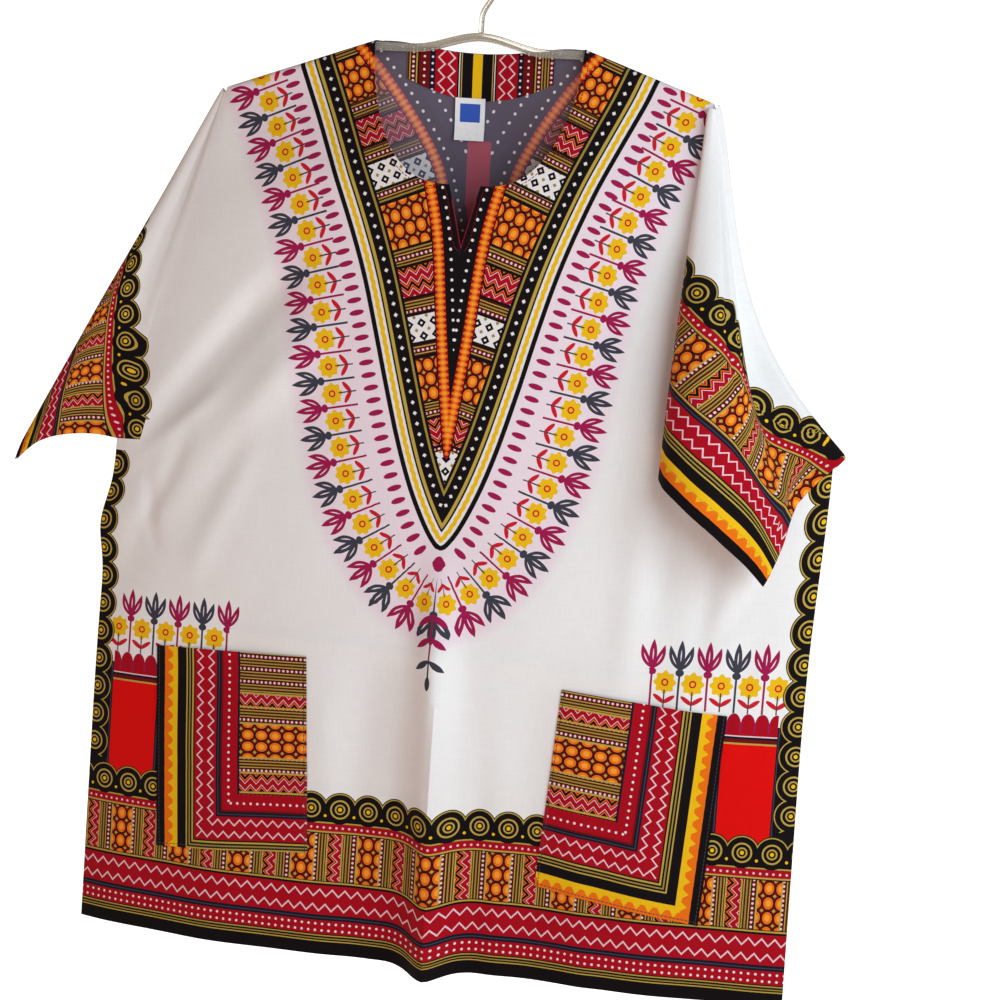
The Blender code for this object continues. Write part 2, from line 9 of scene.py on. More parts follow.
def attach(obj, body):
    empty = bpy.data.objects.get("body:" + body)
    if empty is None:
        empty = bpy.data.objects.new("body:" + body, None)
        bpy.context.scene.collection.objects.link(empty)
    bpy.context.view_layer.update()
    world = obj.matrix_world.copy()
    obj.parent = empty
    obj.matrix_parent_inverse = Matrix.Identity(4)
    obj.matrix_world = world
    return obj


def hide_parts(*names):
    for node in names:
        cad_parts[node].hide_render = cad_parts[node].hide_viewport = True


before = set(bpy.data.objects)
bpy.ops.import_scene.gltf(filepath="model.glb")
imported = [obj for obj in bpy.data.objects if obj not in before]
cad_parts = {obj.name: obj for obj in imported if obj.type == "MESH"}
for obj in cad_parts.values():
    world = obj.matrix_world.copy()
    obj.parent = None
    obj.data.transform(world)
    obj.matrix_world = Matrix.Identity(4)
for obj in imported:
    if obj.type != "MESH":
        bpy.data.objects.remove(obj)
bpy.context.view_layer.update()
bpy.ops.object.select_all(action="DESELECT")
print("frame loaded,", len(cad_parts), "nodes")

# Flat cut in metres: drops run down from the neck points, halves run out from the centre line.
cut = {
    "neckLevel": -0.085,
    "length": 0.795,
    "neckHalf": 0.091,
    "shoulderSlope": 0.353,
    "tipRight": 0.203,
    "tipLeft": 0.222,
    "armpitHalf": 0.315,
    "armpitDrop": 0.360,
    "hemHalf": 0.318,
    "cuffHalf": 0.445,
    "scoopDrop": 0.120,
    "slitHalf": 0.0135,
    "slitDrop": 0.172,
    "backNeckDrop": 0.006,
    "backNeckRise": 0.004,
}

# How the cloth hangs: its thickness, the room over the hanger's arm, and where it leaves the flat cut.
drape = {
    "cloth": 0.0006,
    "halfStep": 0.00035,
    "armWrap": 0.0047,
    "armSlack": 0.0003,
    "tipRoom": 0.0006,
    "armholeRoom": 0.0032,
    "ripple": 0.0006,
    "rightArmpit": (0.010, 0.034),
    "leftArmpit": (-0.008, 0.000),
    "rightBow": 0.031,
    "bowSag": 0.35,
    "leftFlare": 0.008,
    "flareAt": (0.435, 0.030),
    "hemDip": 0.007,
    "dipAt": (0.013, 0.020),
    "cornerDip": 0.006,
    "bodyDepth": ((0.00, 0.010), (0.12, 0.020), (0.30, 0.024), (0.55, 0.026), (0.80, 0.030)),
    "meshStep": 0.0040,
}

# Folds: half and drop at the start, half and drop at the end, height out of the cloth, half width.
frontFolds = [
    (0.000, 0.420, 0.013, 0.830, 0.020, 0.016),
    (-0.060, 0.480, -0.050, 0.830, -0.007, 0.030),
    (0.085, 0.500, 0.095, 0.830, -0.006, 0.030),
    (-0.130, 0.180, -0.300, 0.380, -0.010, 0.016),
    (-0.110, 0.230, -0.270, 0.440, 0.007, 0.018),
    (-0.150, 0.300, -0.320, 0.500, -0.006, 0.020),
    (0.270, 0.400, 0.215, 0.560, 0.006, 0.022),
    (-0.190, 0.560, -0.185, 0.830, 0.005, 0.040),
    (0.190, 0.600, 0.200, 0.830, 0.006, 0.040),
]
backFolds = [
    (-0.010, 0.060, -0.020, 0.830, 0.008, 0.034),
    (-0.115, 0.300, -0.130, 0.830, 0.011, 0.024),
    (0.095, 0.260, 0.110, 0.830, 0.010, 0.026),
    (0.205, 0.420, 0.215, 0.830, -0.008, 0.028),
    (-0.205, 0.460, -0.215, 0.830, -0.007, 0.026),
    (0.030, 0.450, 0.045, 0.830, -0.007, 0.026),
]

# Small creases laid over the folds: pressed lines, soft troughs at the chest, puckers at the armpits.
frontCreases = [
    (-0.300, 0.516, 0.300, 0.530, 0.0011, 0.006),
    (-0.300, 0.640, 0.300, 0.646, -0.0010, 0.006),
    (-0.165, 0.205, -0.285, 0.345, -0.0050, 0.010),
    (-0.200, 0.300, -0.305, 0.385, 0.0040, 0.008),
    (-0.235, 0.335, -0.285, 0.455, -0.0040, 0.009),
    (-0.165, 0.330, -0.225, 0.470, 0.0030, 0.012),
    (-0.280, 0.380, -0.262, 0.450, -0.0040, 0.006),
    (0.205, 0.160, 0.190, 0.460, -0.0050, 0.012),
    (0.175, 0.240, 0.165, 0.540, 0.0030, 0.014),
    (0.235, 0.360, 0.225, 0.520, -0.0040, 0.010),
    (0.0055, 0.470, 0.0150, 0.830, 0.0026, 0.004),
    (0.290, 0.420, 0.235, 0.500, -0.0022, 0.008),
    (0.300, 0.455, 0.260, 0.580, 0.0020, 0.009),
    (-0.030, 0.560, -0.024, 0.830, -0.0030, 0.012),
    (0.046, 0.560, 0.054, 0.830, -0.0030, 0.012),
    (0.130, 0.610, 0.150, 0.830, 0.0020, 0.014),
    (-0.095, 0.560, -0.085, 0.660, 0.0016, 0.012),
]
backCreases = [
    (-0.300, 0.512, 0.300, 0.524, -0.0011, 0.006),
    (-0.300, 0.650, 0.300, 0.644, 0.0010, 0.006),
    (0.190, 0.240, 0.290, 0.350, -0.0030, 0.009),
    (-0.200, 0.230, -0.290, 0.345, 0.0028, 0.010),
    (0.150, 0.190, 0.265, 0.400, 0.0024, 0.012),
    (-0.060, 0.330, -0.075, 0.620, -0.0024, 0.014),
    (0.060, 0.500, 0.070, 0.830, 0.0024, 0.012),
    (-0.165, 0.520, -0.175, 0.830, -0.0028, 0.013),
    (0.160, 0.560, 0.165, 0.830, 0.0026, 0.013),
]

# Rows of the panels to the armpit: share of the armhole line, and station on the front's inner edge.
upperRows = [
    (0.0, 0.0), (0.003, 0.006), (0.008, 0.018), (0.016, 0.036), (0.032, 0.07), (0.06, 0.13),
    (0.10, 0.24), (0.15, 0.37), (0.21, 0.50), (0.28, 0.66), (0.35, 0.82), (0.43, 1.00),
    (0.52, 1.50), (0.61, 2.00), (0.70, 2.07), (0.80, 2.14), (0.90, 2.21), (1.00, 2.28),
]


def smooth(value, low, high):
    t = np.clip((value - low) / (high - low), 0, 1)
    return t * t * (3 - 2 * t)


def mix(low, high, share):
    return low + (high - low) * share


def shoulderDrop(u):
    return cut["shoulderSlope"] * np.maximum(np.abs(u) - cut["neckHalf"], 0)


def tipOf(side):
    reach = cut["tipRight"] if side > 0 else cut["tipLeft"]
    return np.array([reach, shoulderDrop(reach)])


def edgeHalf(v, side):
    # half width of a body panel, down the armhole line and then the side seam
    reach, drop = tipOf(side)
    armpitHalf, armpitDrop = cut["armpitHalf"], cut["armpitDrop"]
    armhole = reach + (armpitHalf - reach) * (v - drop) / (armpitDrop - drop)
    seam = armpitHalf + (cut["hemHalf"] - armpitHalf) * (v - armpitDrop) / (cut["length"] - armpitDrop)
    return np.where(v < armpitDrop, np.maximum(armhole, reach), seam)


def armholeShare(v, side):
    drop = tipOf(side)[1]
    return np.clip((v - drop) / (cut["armpitDrop"] - drop), 0, 1)


def seamDistance(u, v):
    cosine = 1 / math.hypot(1, cut["shoulderSlope"])
    below = (v - shoulderDrop(u)) * cosine
    inside = np.hypot(np.maximum(cut["neckHalf"] - np.abs(u), 0), np.maximum(v, 0))
    return np.maximum(np.where(np.abs(u) < cut["neckHalf"], inside, below), 0)


def overArm(distance):
    wrap = drape["armWrap"]
    rise = np.sqrt(1 - (1 - np.clip(distance / wrap, 0, 1)) ** 2)
    return drape["halfStep"] + (wrap - drape["halfStep"] + drape["armSlack"]) * rise


def edgeDepth(v, side):
    share = armholeShare(v, side)
    bulge = drape["armholeRoom"] * np.sin(math.pi * share)
    return drape["halfStep"] + drape["tipRoom"] * (1 - share) + bulge


def foldHeight(u, v, folds):
    total = np.zeros_like(u)
    for u0, v0, u1, v1, height, width in folds:
        run = np.array([u1 - u0, v1 - v0])
        length = np.hypot(*run)
        along = ((u - u0) * run[0] + (v - v0) * run[1]) / length ** 2
        across = ((u - u0) * run[1] - (v - v0) * run[0]) / length
        ends = smooth(along, -0.05, 0.35) * (1 - smooth(along, 0.85, 1.15))
        total = total + height * ends * np.exp(-(across / width) ** 2)
    return total


def ripple(u, v):
    # slow unevenness of worn cotton, a fraction of a millimetre
    wave = np.sin(31 * u + 17 * v + 1.3) * np.sin(23 * v - 11 * u)
    wave = wave + 0.6 * np.sin(67 * u - 29 * v + 0.4) * np.sin(53 * v + 19 * u + 2.1)
    return drape["ripple"] * wave


def halfDepth(u, v, folds, creases=()):
    drops, depths = zip(*drape["bodyDepth"])
    side = np.where(u >= 0, 1, -1)
    edge = np.where(side > 0, edgeHalf(v, 1), edgeHalf(v, -1))
    share = np.clip(np.abs(u) / edge, 0, 1)
    rim = np.where(side > 0, edgeDepth(v, 1), edgeDepth(v, -1))
    distance = seamDistance(u, v)
    inner = overArm(distance)
    inner = inner + np.interp(v, drops, depths) * smooth(distance, 0.002, 0.11) * (1 - share ** 2.5)
    inner = inner + foldHeight(u, v, folds) * smooth(distance, 0.01, 0.08) * (1 - share ** 4)
    if creases:
        small = foldHeight(u, v, creases) + ripple(u, v)
        inner = inner + small * smooth(distance, 0.02, 0.09) * (1 - share ** 6)
    blend = share ** 24
    return np.maximum(inner * (1 - blend) + rim * blend, drape["halfStep"])


def panelShift(u, v):
    shiftX = np.zeros_like(u)
    shiftZ = np.zeros_like(u)
    for side, armpit, bow in ((1, drape["rightArmpit"], drape["rightBow"]), (-1, drape["leftArmpit"], 0.0)):
        reach = np.clip(u * side / edgeHalf(v, side), 0, 1) ** 2.5
        share = armholeShare(v, side)
        below = np.maximum(v - cut["armpitDrop"], 0)
        bend = bow * np.sin(math.pi * share ** 1.3)
        shiftX = shiftX + side * reach * (armpit[0] * share * np.exp(-(below / 0.11) ** 2) - bend)
        sag = drape["bowSag"] * bend
        shiftZ = shiftZ + reach * (armpit[1] * share * np.exp(-(below / 0.10) ** 2) - sag)
    flareDrop, flareWide = drape["flareAt"]
    dipHalf, dipWide = drape["dipAt"]
    flare = np.exp(-((v - flareDrop) / flareWide) ** 2) * np.clip(-u / cut["hemHalf"], 0, 1) ** 4
    shiftX = shiftX - drape["leftFlare"] * flare
    nearHem = smooth(v, 0.55, cut["length"])
    shiftZ = shiftZ - drape["hemDip"] * nearHem * np.exp(-((u - dipHalf) / dipWide) ** 2)
    shiftZ = shiftZ - drape["cornerDip"] * nearHem * np.clip(u / cut["hemHalf"], 0, 1) ** 3
    return shiftX, shiftZ


def hang(flat, folds, creases, facing, lift=0.0):
    u, v = flat[:, 0], flat[:, 1]
    shiftX, shiftZ = panelShift(u, v)
    depth = halfDepth(u, v, folds, creases) + lift
    return np.stack([u + shiftX, facing * depth, cut["neckLevel"] - v + shiftZ], axis=-1)


def scoopPoint(share):
    angle = share * math.pi / 2
    bend = math.cos(angle) ** 0.78
    wide = cut["neckHalf"] - cut["slitHalf"]
    return np.array([cut["slitHalf"] + wide * bend, cut["scoopDrop"] * math.sin(angle) ** 1.05])


def frontInner(row):
    # neckline for 0 to 1, slit for 1 to 2, centre line for 2 to 3
    if row <= 1:
        return scoopPoint(row)
    if row <= 2:
        return np.array([cut["slitHalf"] * (2 - row), mix(cut["scoopDrop"], cut["slitDrop"], row - 1)])
    return np.array([0.0, mix(cut["slitDrop"], cut["length"], row - 2)])


def outerPoint(share, side):
    tip = tipOf(side)
    armpit = np.array([cut["armpitHalf"], cut["armpitDrop"]])
    if share <= 1:
        return mix(tip, armpit, share)
    return mix(armpit, np.array([cut["hemHalf"], cut["length"]]), share - 1)


def panelRows():
    # stations on the inner and outer edge, with extra rows so that no quad is longer than the mesh step
    rows = [(upperRows[0][1], upperRows[0][0])]
    for (outer0, inner0), (outer1, inner1) in zip(upperRows[:-1], upperRows[1:]):
        drop = max(outer1 - outer0, 0.35 * (inner1 - inner0)) * 0.34
        parts = max(1, math.ceil(drop / drape["meshStep"]))
        for k in range(1, parts + 1):
            rows.append((inner0 + (inner1 - inner0) * k / parts, outer0 + (outer1 - outer0) * k / parts))
    armpit = rows[-1][0]
    lower = math.ceil((cut["length"] - cut["armpitDrop"]) / drape["meshStep"])
    rows.extend((mix(armpit, 3, share), 1 + share) for share in np.linspace(0, 1, lower + 1)[1:])
    return rows


def gridFaces(rows, columns):
    faces = []
    for i in range(rows - 1):
        for j in range(columns - 1):
            a = i * columns + j
            faces.append((a, a + columns, a + columns + 1, a + 1))
    return faces


# Guide lines of the neck, right half: the yoke's outer edge, the middle of the sprig ring, the V of the
# placket and the neckline with its slit. The print and the neck's stitches are laid out along them.
guides = {
    "yoke": [(0.166, 0.000), (0.150, 0.040), (0.133, 0.080), (0.114, 0.125), (0.098, 0.165), (0.084, 0.205),
             (0.071, 0.250), (0.059, 0.295), (0.046, 0.340), (0.032, 0.380), (0.017, 0.412), (0.006, 0.428),
             (0.0, 0.431)],
    "ring": [(0.214, 0.000), (0.199, 0.035), (0.180, 0.080), (0.160, 0.125), (0.144, 0.170), (0.131, 0.215),
             (0.121, 0.260), (0.112, 0.305), (0.102, 0.350), (0.088, 0.393), (0.068, 0.432), (0.042, 0.464),
             (0.018, 0.480), (0.0, 0.484)],
    "placket": [(0.128, -0.012), (0.092, 0.026), (0.062, 0.066), (0.042, 0.100), (0.034, 0.125),
                (0.024, 0.172), (0.0155, 0.250), (0.006, 0.325), (0.0, 0.353)],
    "neckline": [tuple(scoopPoint(t)) for t in np.linspace(0, 1, 9)] + [(0.0, cut["slitDrop"])],
}


def roundedPath(points):
    # Catmull-Rom curve through the points of a guide
    p = np.array(points, float)
    p = np.vstack([2 * p[0] - p[1], p, (-p[-2][0], p[-2][1])])
    dense = []
    for i in range(1, len(p) - 2):
        for t in np.linspace(0, 1, 9)[:-1]:
            a, b, c, d = p[i - 1:i + 3]
            dense.append(0.5 * (2 * b + (c - a) * t + (2 * a - 5 * b + 4 * c - d) * t ** 2
                                + (3 * b - a - 3 * c + d) * t ** 3))
    dense.append(p[-2])
    return np.array(dense)


def alongGuide(name, flat):
    # length along a guide, counted back from its lower end, and distance to its inner side
    path = roundedPath(guides[name])
    u, v = np.abs(flat[:, 0]), flat[:, 1]
    run = np.diff(path, axis=0)
    length = np.hypot(run[:, 0], run[:, 1])
    start = np.concatenate([[0], np.cumsum(length)])
    best = np.full(len(u), 1e9)
    along = np.zeros(len(u))
    inward = np.zeros(len(u))
    for (x, y), (rx, ry), size, begin in zip(path[:-1], run, length, start[:-1]):
        t = np.clip(((u - x) * rx + (v - y) * ry) / size ** 2, 0, 1)
        dx, dy = u - x - rx * t, v - y - ry * t
        away = np.hypot(dx, dy)
        nearer = away < best - 1e-9
        side = np.sign(rx * dy - ry * dx)
        best = np.where(nearer, away, best)
        along = np.where(nearer, start[-1] - begin - size * t, along)
        inward = np.where(nearer, side * away, inward)
    return np.stack([along, inward], axis=-1)


def inkOf(red, green, blue):
    # a printed colour as it looks on screen, turned linear
    return tuple(c / 12.92 if c <= 0.04045 else ((c + 0.055) / 1.055) ** 2.4
                 for c in (red / 255, green / 255, blue / 255)) + (1.0,)


inks = {
    "cloth": inkOf(240, 236, 236),
    "halo": inkOf(238, 219, 228),
    "black": inkOf(18, 12, 15),
    "navy": inkOf(22, 22, 40),
    "grey": inkOf(62, 62, 74),
    "white": inkOf(236, 228, 228),
    "pinkWhite": inkOf(236, 204, 212),
    "magenta": inkOf(160, 24, 78),
    "leaf": inkOf(205, 28, 45),
    "yellow": inkOf(240, 188, 20),
    "gold": inkOf(190, 160, 70),
    "olive": inkOf(160, 135, 60),
    "orange": inkOf(238, 112, 18),
    "amber": inkOf(248, 160, 50),
    "darkRed": inkOf(112, 12, 14),
    "red": inkOf(172, 6, 28),
    "panelRed": inkOf(226, 8, 6),
    "wrongSide": inkOf(206, 188, 216),
    "satin": inkOf(244, 243, 246),
    "blue": inkOf(20, 80, 190),
}


# Print sizes that several zones share, in metres.
pattern = {
    "sprigPitch": 0.0235,
    "ringPitch": 0.025,
    "stitchPitch": 0.0034,
    "bandsHeight": 0.063,
    "panelMiddle": 0.274,
    "panelHalf": 0.03,
    "fieldHalf": 0.0225,
    "panelTop": 0.559,
    "domePitch": 0.0118,
}


class field:
    # a socket that can be added, multiplied and joined, so that a pattern reads as a formula
    def __init__(self, tree, socket):
        self.tree = tree
        self.socket = socket

    def __add__(self, other):
        return calc("ADD", self, other)

    def __sub__(self, other):
        return calc("SUBTRACT", self, other)

    def __rsub__(self, other):
        return calc("SUBTRACT", other, self)

    def __mul__(self, other):
        return calc("MULTIPLY", self, other)

    def __mod__(self, other):
        return calc("FLOORED_MODULO", self, other)

    def __or__(self, other):
        return calc("MAXIMUM", self, other)

    def __abs__(self):
        return calc("ABSOLUTE", self)


def feed(socket, value):
    # a field is linked, an ink is looked up, and a number or colour is set
    if isinstance(value, field):
        value.tree.links.new(value.socket, socket)
    else:
        socket.default_value = inks[value] if isinstance(value, str) else value


def addNode(tree, kind, sockets):
    node = tree.nodes.new(kind)
    for label, value in sockets.items():
        feed(node.inputs[label], value)
    return node


def treeOf(*values):
    return next(value.tree for value in values if isinstance(value, field))


def calc(kind, *values):
    tree = treeOf(*values)
    node = tree.nodes.new("ShaderNodeMath")
    node.operation = kind
    for socket, value in zip(node.inputs, values):
        feed(socket, value)
    return field(tree, node.outputs[0])


def timesPlus(value, gain, start):
    return calc("MULTIPLY_ADD", value, gain, start)


def apart(x, pitch):
    # distance to the nearest whole pitch
    return calc("PINGPONG", x, pitch / 2)


def near(x, middle, half):
    return calc("COMPARE", x, middle, half)


def below(x, limit):
    return calc("LESS_THAN", x, limit)


def above(x, limit):
    return calc("GREATER_THAN", x, limit)


def squared(x, y, wide=1.0, high=1.0):
    # squared distance in an ellipse of the given half sizes
    return timesPlus(y * y, 1 / high ** 2, x * x * (1 / wide ** 2))


def spot(x, y, wide, high):
    return below(squared(x, y, wide, high), 1.0)


def zigzag(x, pitch, height):
    return apart(x, pitch) * (2 * height / pitch)


def paint(base, mask, colour, blend="MIX"):
    # colour over a base where the mask is 1
    tree = treeOf(base, mask, colour)
    node = tree.nodes.new("ShaderNodeMix")
    node.data_type = "RGBA"
    node.blend_type = blend
    for socket, value in zip((node.inputs[0], node.inputs[6], node.inputs[7]), (mask, base, colour)):
        feed(socket, value)
    return field(tree, node.outputs[2])


def layered(colour, *layers):
    for mask, ink in layers:
        colour = paint(colour, mask, ink)
    return colour


def linesAt(colour, x, levels, half, ink):
    return layered(colour, *[(near(x, level, half), ink) for level in levels])


def dotLine(colour, x, pitch, y, size, ink):
    return paint(colour, spot(apart(x, pitch), y, size, size), ink)


def zigzagPair(colour, x, height, pitch, rise, levels, half):
    # two facing zigzag lines
    for level, turned in zip(levels, (rise, -rise)):
        colour = paint(colour, near(height - zigzag(x, pitch, turned), level, half), "pinkWhite")
    return colour


def stripes(x, length, stops):
    # flat bands of ink, each from its own distance on
    node = addNode(x.tree, "ShaderNodeValToRGB", {0: x * (1 / length)})
    node.color_ramp.interpolation = "CONSTANT"
    marks = node.color_ramp.elements
    while len(marks) < len(stops):
        marks.new(0.5)
    for mark, (start, ink) in zip(marks, stops):
        mark.position = start / length
        mark.color = inks[ink]
    return field(x.tree, node.outputs[0])


def noise(place, scale, detail=2.0, rough=0.5):
    node = addNode(place.tree, "ShaderNodeTexNoise",
                   {"Vector": place, "Scale": scale, "Detail": detail, "Roughness": rough})
    return field(place.tree, node.outputs["Fac"])


def stretched(place, scale):
    node = addNode(place.tree, "ShaderNodeMapping", {"Vector": place, "Scale": scale})
    return field(place.tree, node.outputs[0])


def uvPlace(tree, name):
    node = tree.nodes.new("ShaderNodeUVMap")
    node.uv_map = name
    return field(tree, node.outputs[0])


def uvField(tree, name):
    split = addNode(tree, "ShaderNodeSeparateXYZ", {0: uvPlace(tree, name)})
    return field(tree, split.outputs[0]), field(tree, split.outputs[1])


def useGroup(name, tree=None, **given):
    tree = tree or treeOf(*given.values())
    node = tree.nodes.new("ShaderNodeGroup")
    node.node_tree = groups[name]
    for label, value in given.items():
        feed(node.inputs[label], value)
    made = [field(tree, socket) for socket in node.outputs]
    return made[0] if len(made) == 1 else made


def patch(name, along, across):
    return useGroup(name, Along=along, Across=across)


def ovalPatch(along, across):
    # rows of amber ovals with a dark outline on dark red, small gold diamonds between them
    oval = squared(apart(along, 0.0125), apart(across, 0.01), 0.0052, 0.0041)
    colour = stripes(oval, 4.0, [(0, "amber"), (0.3, "orange"), (1.0, "black"), (1.45, "darkRed")])
    between = apart(along + 0.00625, 0.0125) + apart(across + 0.005, 0.01)
    return paint(colour, below(between, 0.0016), "gold")


def dotPatch(along, across):
    # thin lines of gold and white with rows of small dots
    line = apart(across, 0.011)
    colour = stripes(line, 0.0056, [
        (0, "darkRed"), (0.0016, "black"), (0.0024, "gold"), (0.0033, "darkRed"), (0.0041, "black"),
        (0.0048, "olive")])
    return dotLine(colour, along, 0.004, line, 0.0011, "pinkWhite")


def zigzagPatch(along, across):
    # nested zigzags of orange, red and white
    return stripes(apart(across + zigzag(along, 0.01, 0.0055), 0.015), 0.0076, [
        (0, "red"), (0.0026, "pinkWhite"), (0.0034, "red"), (0.005, "orange"), (0.006, "black")])


def diamondPatch(along, across):
    # a lattice of black diamonds on white with a white heart in each
    return stripes(apart(along, 0.011) + apart(across, 0.011), 0.0112, [
        (0, "white"), (0.0013, "black"), (0.004, "white"), (0.0092, "olive")])


def ringBand(along, height):
    # a black band with a row of gold rings; its upper side is scalloped round them
    pitch = pattern["ringPitch"]
    reach = calc("SQRT", squared(apart(along, pitch), height))
    inside = stripes(reach, 0.02, [
        (0, "yellow"), (0.0017, "black"), (0.0032, "gold"), (0.0045, "black"), (0.007, "gold"),
        (0.0085, "black"), (0.0132, "gold"), (0.0141, "black")])
    solid = below(height, -0.001)
    foot = stripes(height + 0.015, 0.02, [(0, "black"), (0.0022, "gold"), (0.0034, "black")])
    colour = paint(inside, solid * above(reach, 0.013), foot)
    colour = dotLine(colour, along + pitch / 2, pitch, height + 0.006, 0.0013, "yellow")
    return colour, below(reach, 0.015) | solid


def sprigMotif(across, up, halfPitch, shade):
    # a stem with three pointed leaves, and a round flower with two small leaves between two stems
    lens = up - 0.0455
    middle = timesPlus(lens * lens, 20.0, across)
    outX = across * 0.88 - (up - 0.031) * 0.47
    outY = across * 0.47 + (up - 0.031) * 0.88
    lens = outY - 0.0125
    leaning = timesPlus(lens * lens, 22.0, abs(outX + lens * lens * 16.0))
    stem = below(across, 0.0009) * near(up, 0.017, 0.016)
    knot = spot(across, up - 0.0315, 0.0036, 0.003)
    sprig = below(middle, 0.0032) | below(leaning, 0.0031) | stem | knot
    veins = below(middle, 0.0005) | below(leaning, 0.0005)
    fromFlower = halfPitch - across
    reach = calc("SQRT", squared(fromFlower, up - 0.023))
    petals = calc("COSINE", calc("ARCTAN2", fromFlower, up - 0.023) * 8.0)
    disc = below(reach - petals * 0.001, 0.0088)
    leafX = fromFlower - 0.0042
    leafY = up - 0.009
    redLeaf = spot(leafX * 0.82 + leafY * 0.57, leafY * 0.82 - leafX * 0.57, 0.006, 0.0019)
    flowerStem = below(fromFlower, 0.0006) * near(up, 0.009, 0.008)
    colour = layered("magenta", (shade, "grey"), (veins, "halo"), (disc, "yellow"),
                     (near(reach, 0.0024, 0.0007), "leaf"), (redLeaf, "leaf"), (flowerStem, "grey"))
    return colour, sprig | disc | redLeaf | flowerStem


def edgeBands(along, height):
    # black edge, yellow band with orange teeth, gold lines, dark red band with zigzags, dotted red
    colour = stripes(height, 0.08, [
        (0, "black"), (0.008, "orange"), (0.0105, "yellow"), (0.0205, "black"), (0.029, "gold"),
        (0.0303, "black"), (0.0318, "olive"), (0.0331, "black"), (0.0346, "gold"), (0.036, "black"),
        (0.0375, "red"), (0.058, "navy"), (0.0596, "grey"), (0.0606, "navy"), (0.0624, "darkRed"),
        (0.064, "red")])
    teeth = near(height - zigzag(along, 0.0105, 0.0075), 0.007, 0.004)
    colour = paint(colour, teeth * near(height, 0.012, 0.004), "orange")
    colour = zigzagPair(colour, along, height, 0.01, 0.0052, (0.04, 0.0556), 0.0008)
    return dotLine(colour, along, 0.006, height - 0.07, 0.0011, "white")


def patchBorder(along, height):
    # strip of small patches, a dotted red line and the ring band above them; Height is 0 at its foot
    place = calc("WRAP", along, 0.058, 0.0)
    ovals = patch("ovalPatch", height, place)
    colour = paint(patch("dotPatch", height, place), below(place, 0.0205), ovals)
    colour = paint(colour, near(place, 0.0385, 0.0065), patch("zigzagPatch", height, place))
    colour = linesAt(colour, place, (0.0003, 0.0208, 0.032, 0.045), 0.0006, "gold")
    frameLines = stripes(height, 0.06, [
        (0, "gold"), (0.0012, "black"), (0.0022, "darkRed"), (0.044, "black"), (0.045, "gold"),
        (0.0462, "red"), (0.053, "black")])
    colour = paint(colour, below(height, 0.0022) | above(height, 0.044), frameLines)
    colour = dotLine(colour, along, 0.0055, height - 0.0495, 0.001, "pinkWhite")
    rings, mask = useGroup("ringBand", Along=along, Height=height - 0.066)
    return paint(colour, above(height, 0.053), rings), mask | below(height, 0.056)


def cottonWeave(tree):
    # plain weave with slubs: a tint for the colour and a height for the bump
    place = uvPlace(tree, "flat")
    slubs = noise(stretched(place, (900, 60, 1)), 1.0) + noise(stretched(place, (50, 1100, 1)), 1.0)
    x, y = uvField(tree, "flat")
    threads = calc("SINE", x * 9000) * calc("SINE", y * 9000)
    tint = timesPlus(slubs, 0.09, noise(place, 14.0, 3.0) * 0.05 + 0.885)
    return tint, timesPlus(slubs, 0.35, threads * 0.12) + noise(place, 30.0, 3.0, 0.55) * 2.2


def makeGroup(recipe, inputs, outputs):
    # a node group named after its recipe, with named sockets
    tree = bpy.data.node_groups.new(recipe.__name__, "ShaderNodeTree")
    for label in inputs:
        tree.interface.new_socket(label, in_out="INPUT", socket_type="NodeSocketFloat")
    for label in outputs:
        kind = "NodeSocketColor" if label == "Color" else "NodeSocketFloat"
        tree.interface.new_socket(label, in_out="OUTPUT", socket_type=kind)
    start = tree.nodes.new("NodeGroupInput")
    end = tree.nodes.new("NodeGroupOutput")
    made = recipe(*[field(tree, start.outputs[label]) for label in inputs] or [tree])
    for value, socket in zip(made if isinstance(made, tuple) else (made,), end.inputs):
        feed(socket, value)
    return tree


groups = {}
for recipe, inputs, outputs in (
        (ovalPatch, ("Along", "Across"), ("Color",)), (dotPatch, ("Along", "Across"), ("Color",)),
        (zigzagPatch, ("Along", "Across"), ("Color",)), (diamondPatch, ("Along", "Across"), ("Color",)),
        (ringBand, ("Along", "Height"), ("Color", "Mask")), (edgeBands, ("Along", "Height"), ("Color",)),
        (sprigMotif, ("Across", "Up", "HalfPitch", "Shade"), ("Color", "Mask")),
        (patchBorder, ("Along", "Height"), ("Color", "Mask")), (cottonWeave, (), ("Tint", "Height"))):
    groups[recipe.__name__] = makeGroup(recipe, inputs, outputs)
print("print motifs:", len(groups), "node groups")


def stitchLine(across, along):
    # a dashed thread line where across is nought
    return near(across, 0.0, 0.00035) * above(apart(along, pattern["stitchPitch"]), 0.0005)


def sprigRow(along, up):
    # sprigs in grey and magenta by turns
    pitch = pattern["sprigPitch"]
    shade = below((along + pitch / 2) % (2 * pitch), pitch)
    return useGroup("sprigMotif", Across=apart(along, pitch), Up=up, Shade=shade, HalfPitch=pitch / 2)


# Each print gives its colour and its own relief, such as a turned hem or stitches.
def plainPrint(u, v):
    return "cloth", 0.0


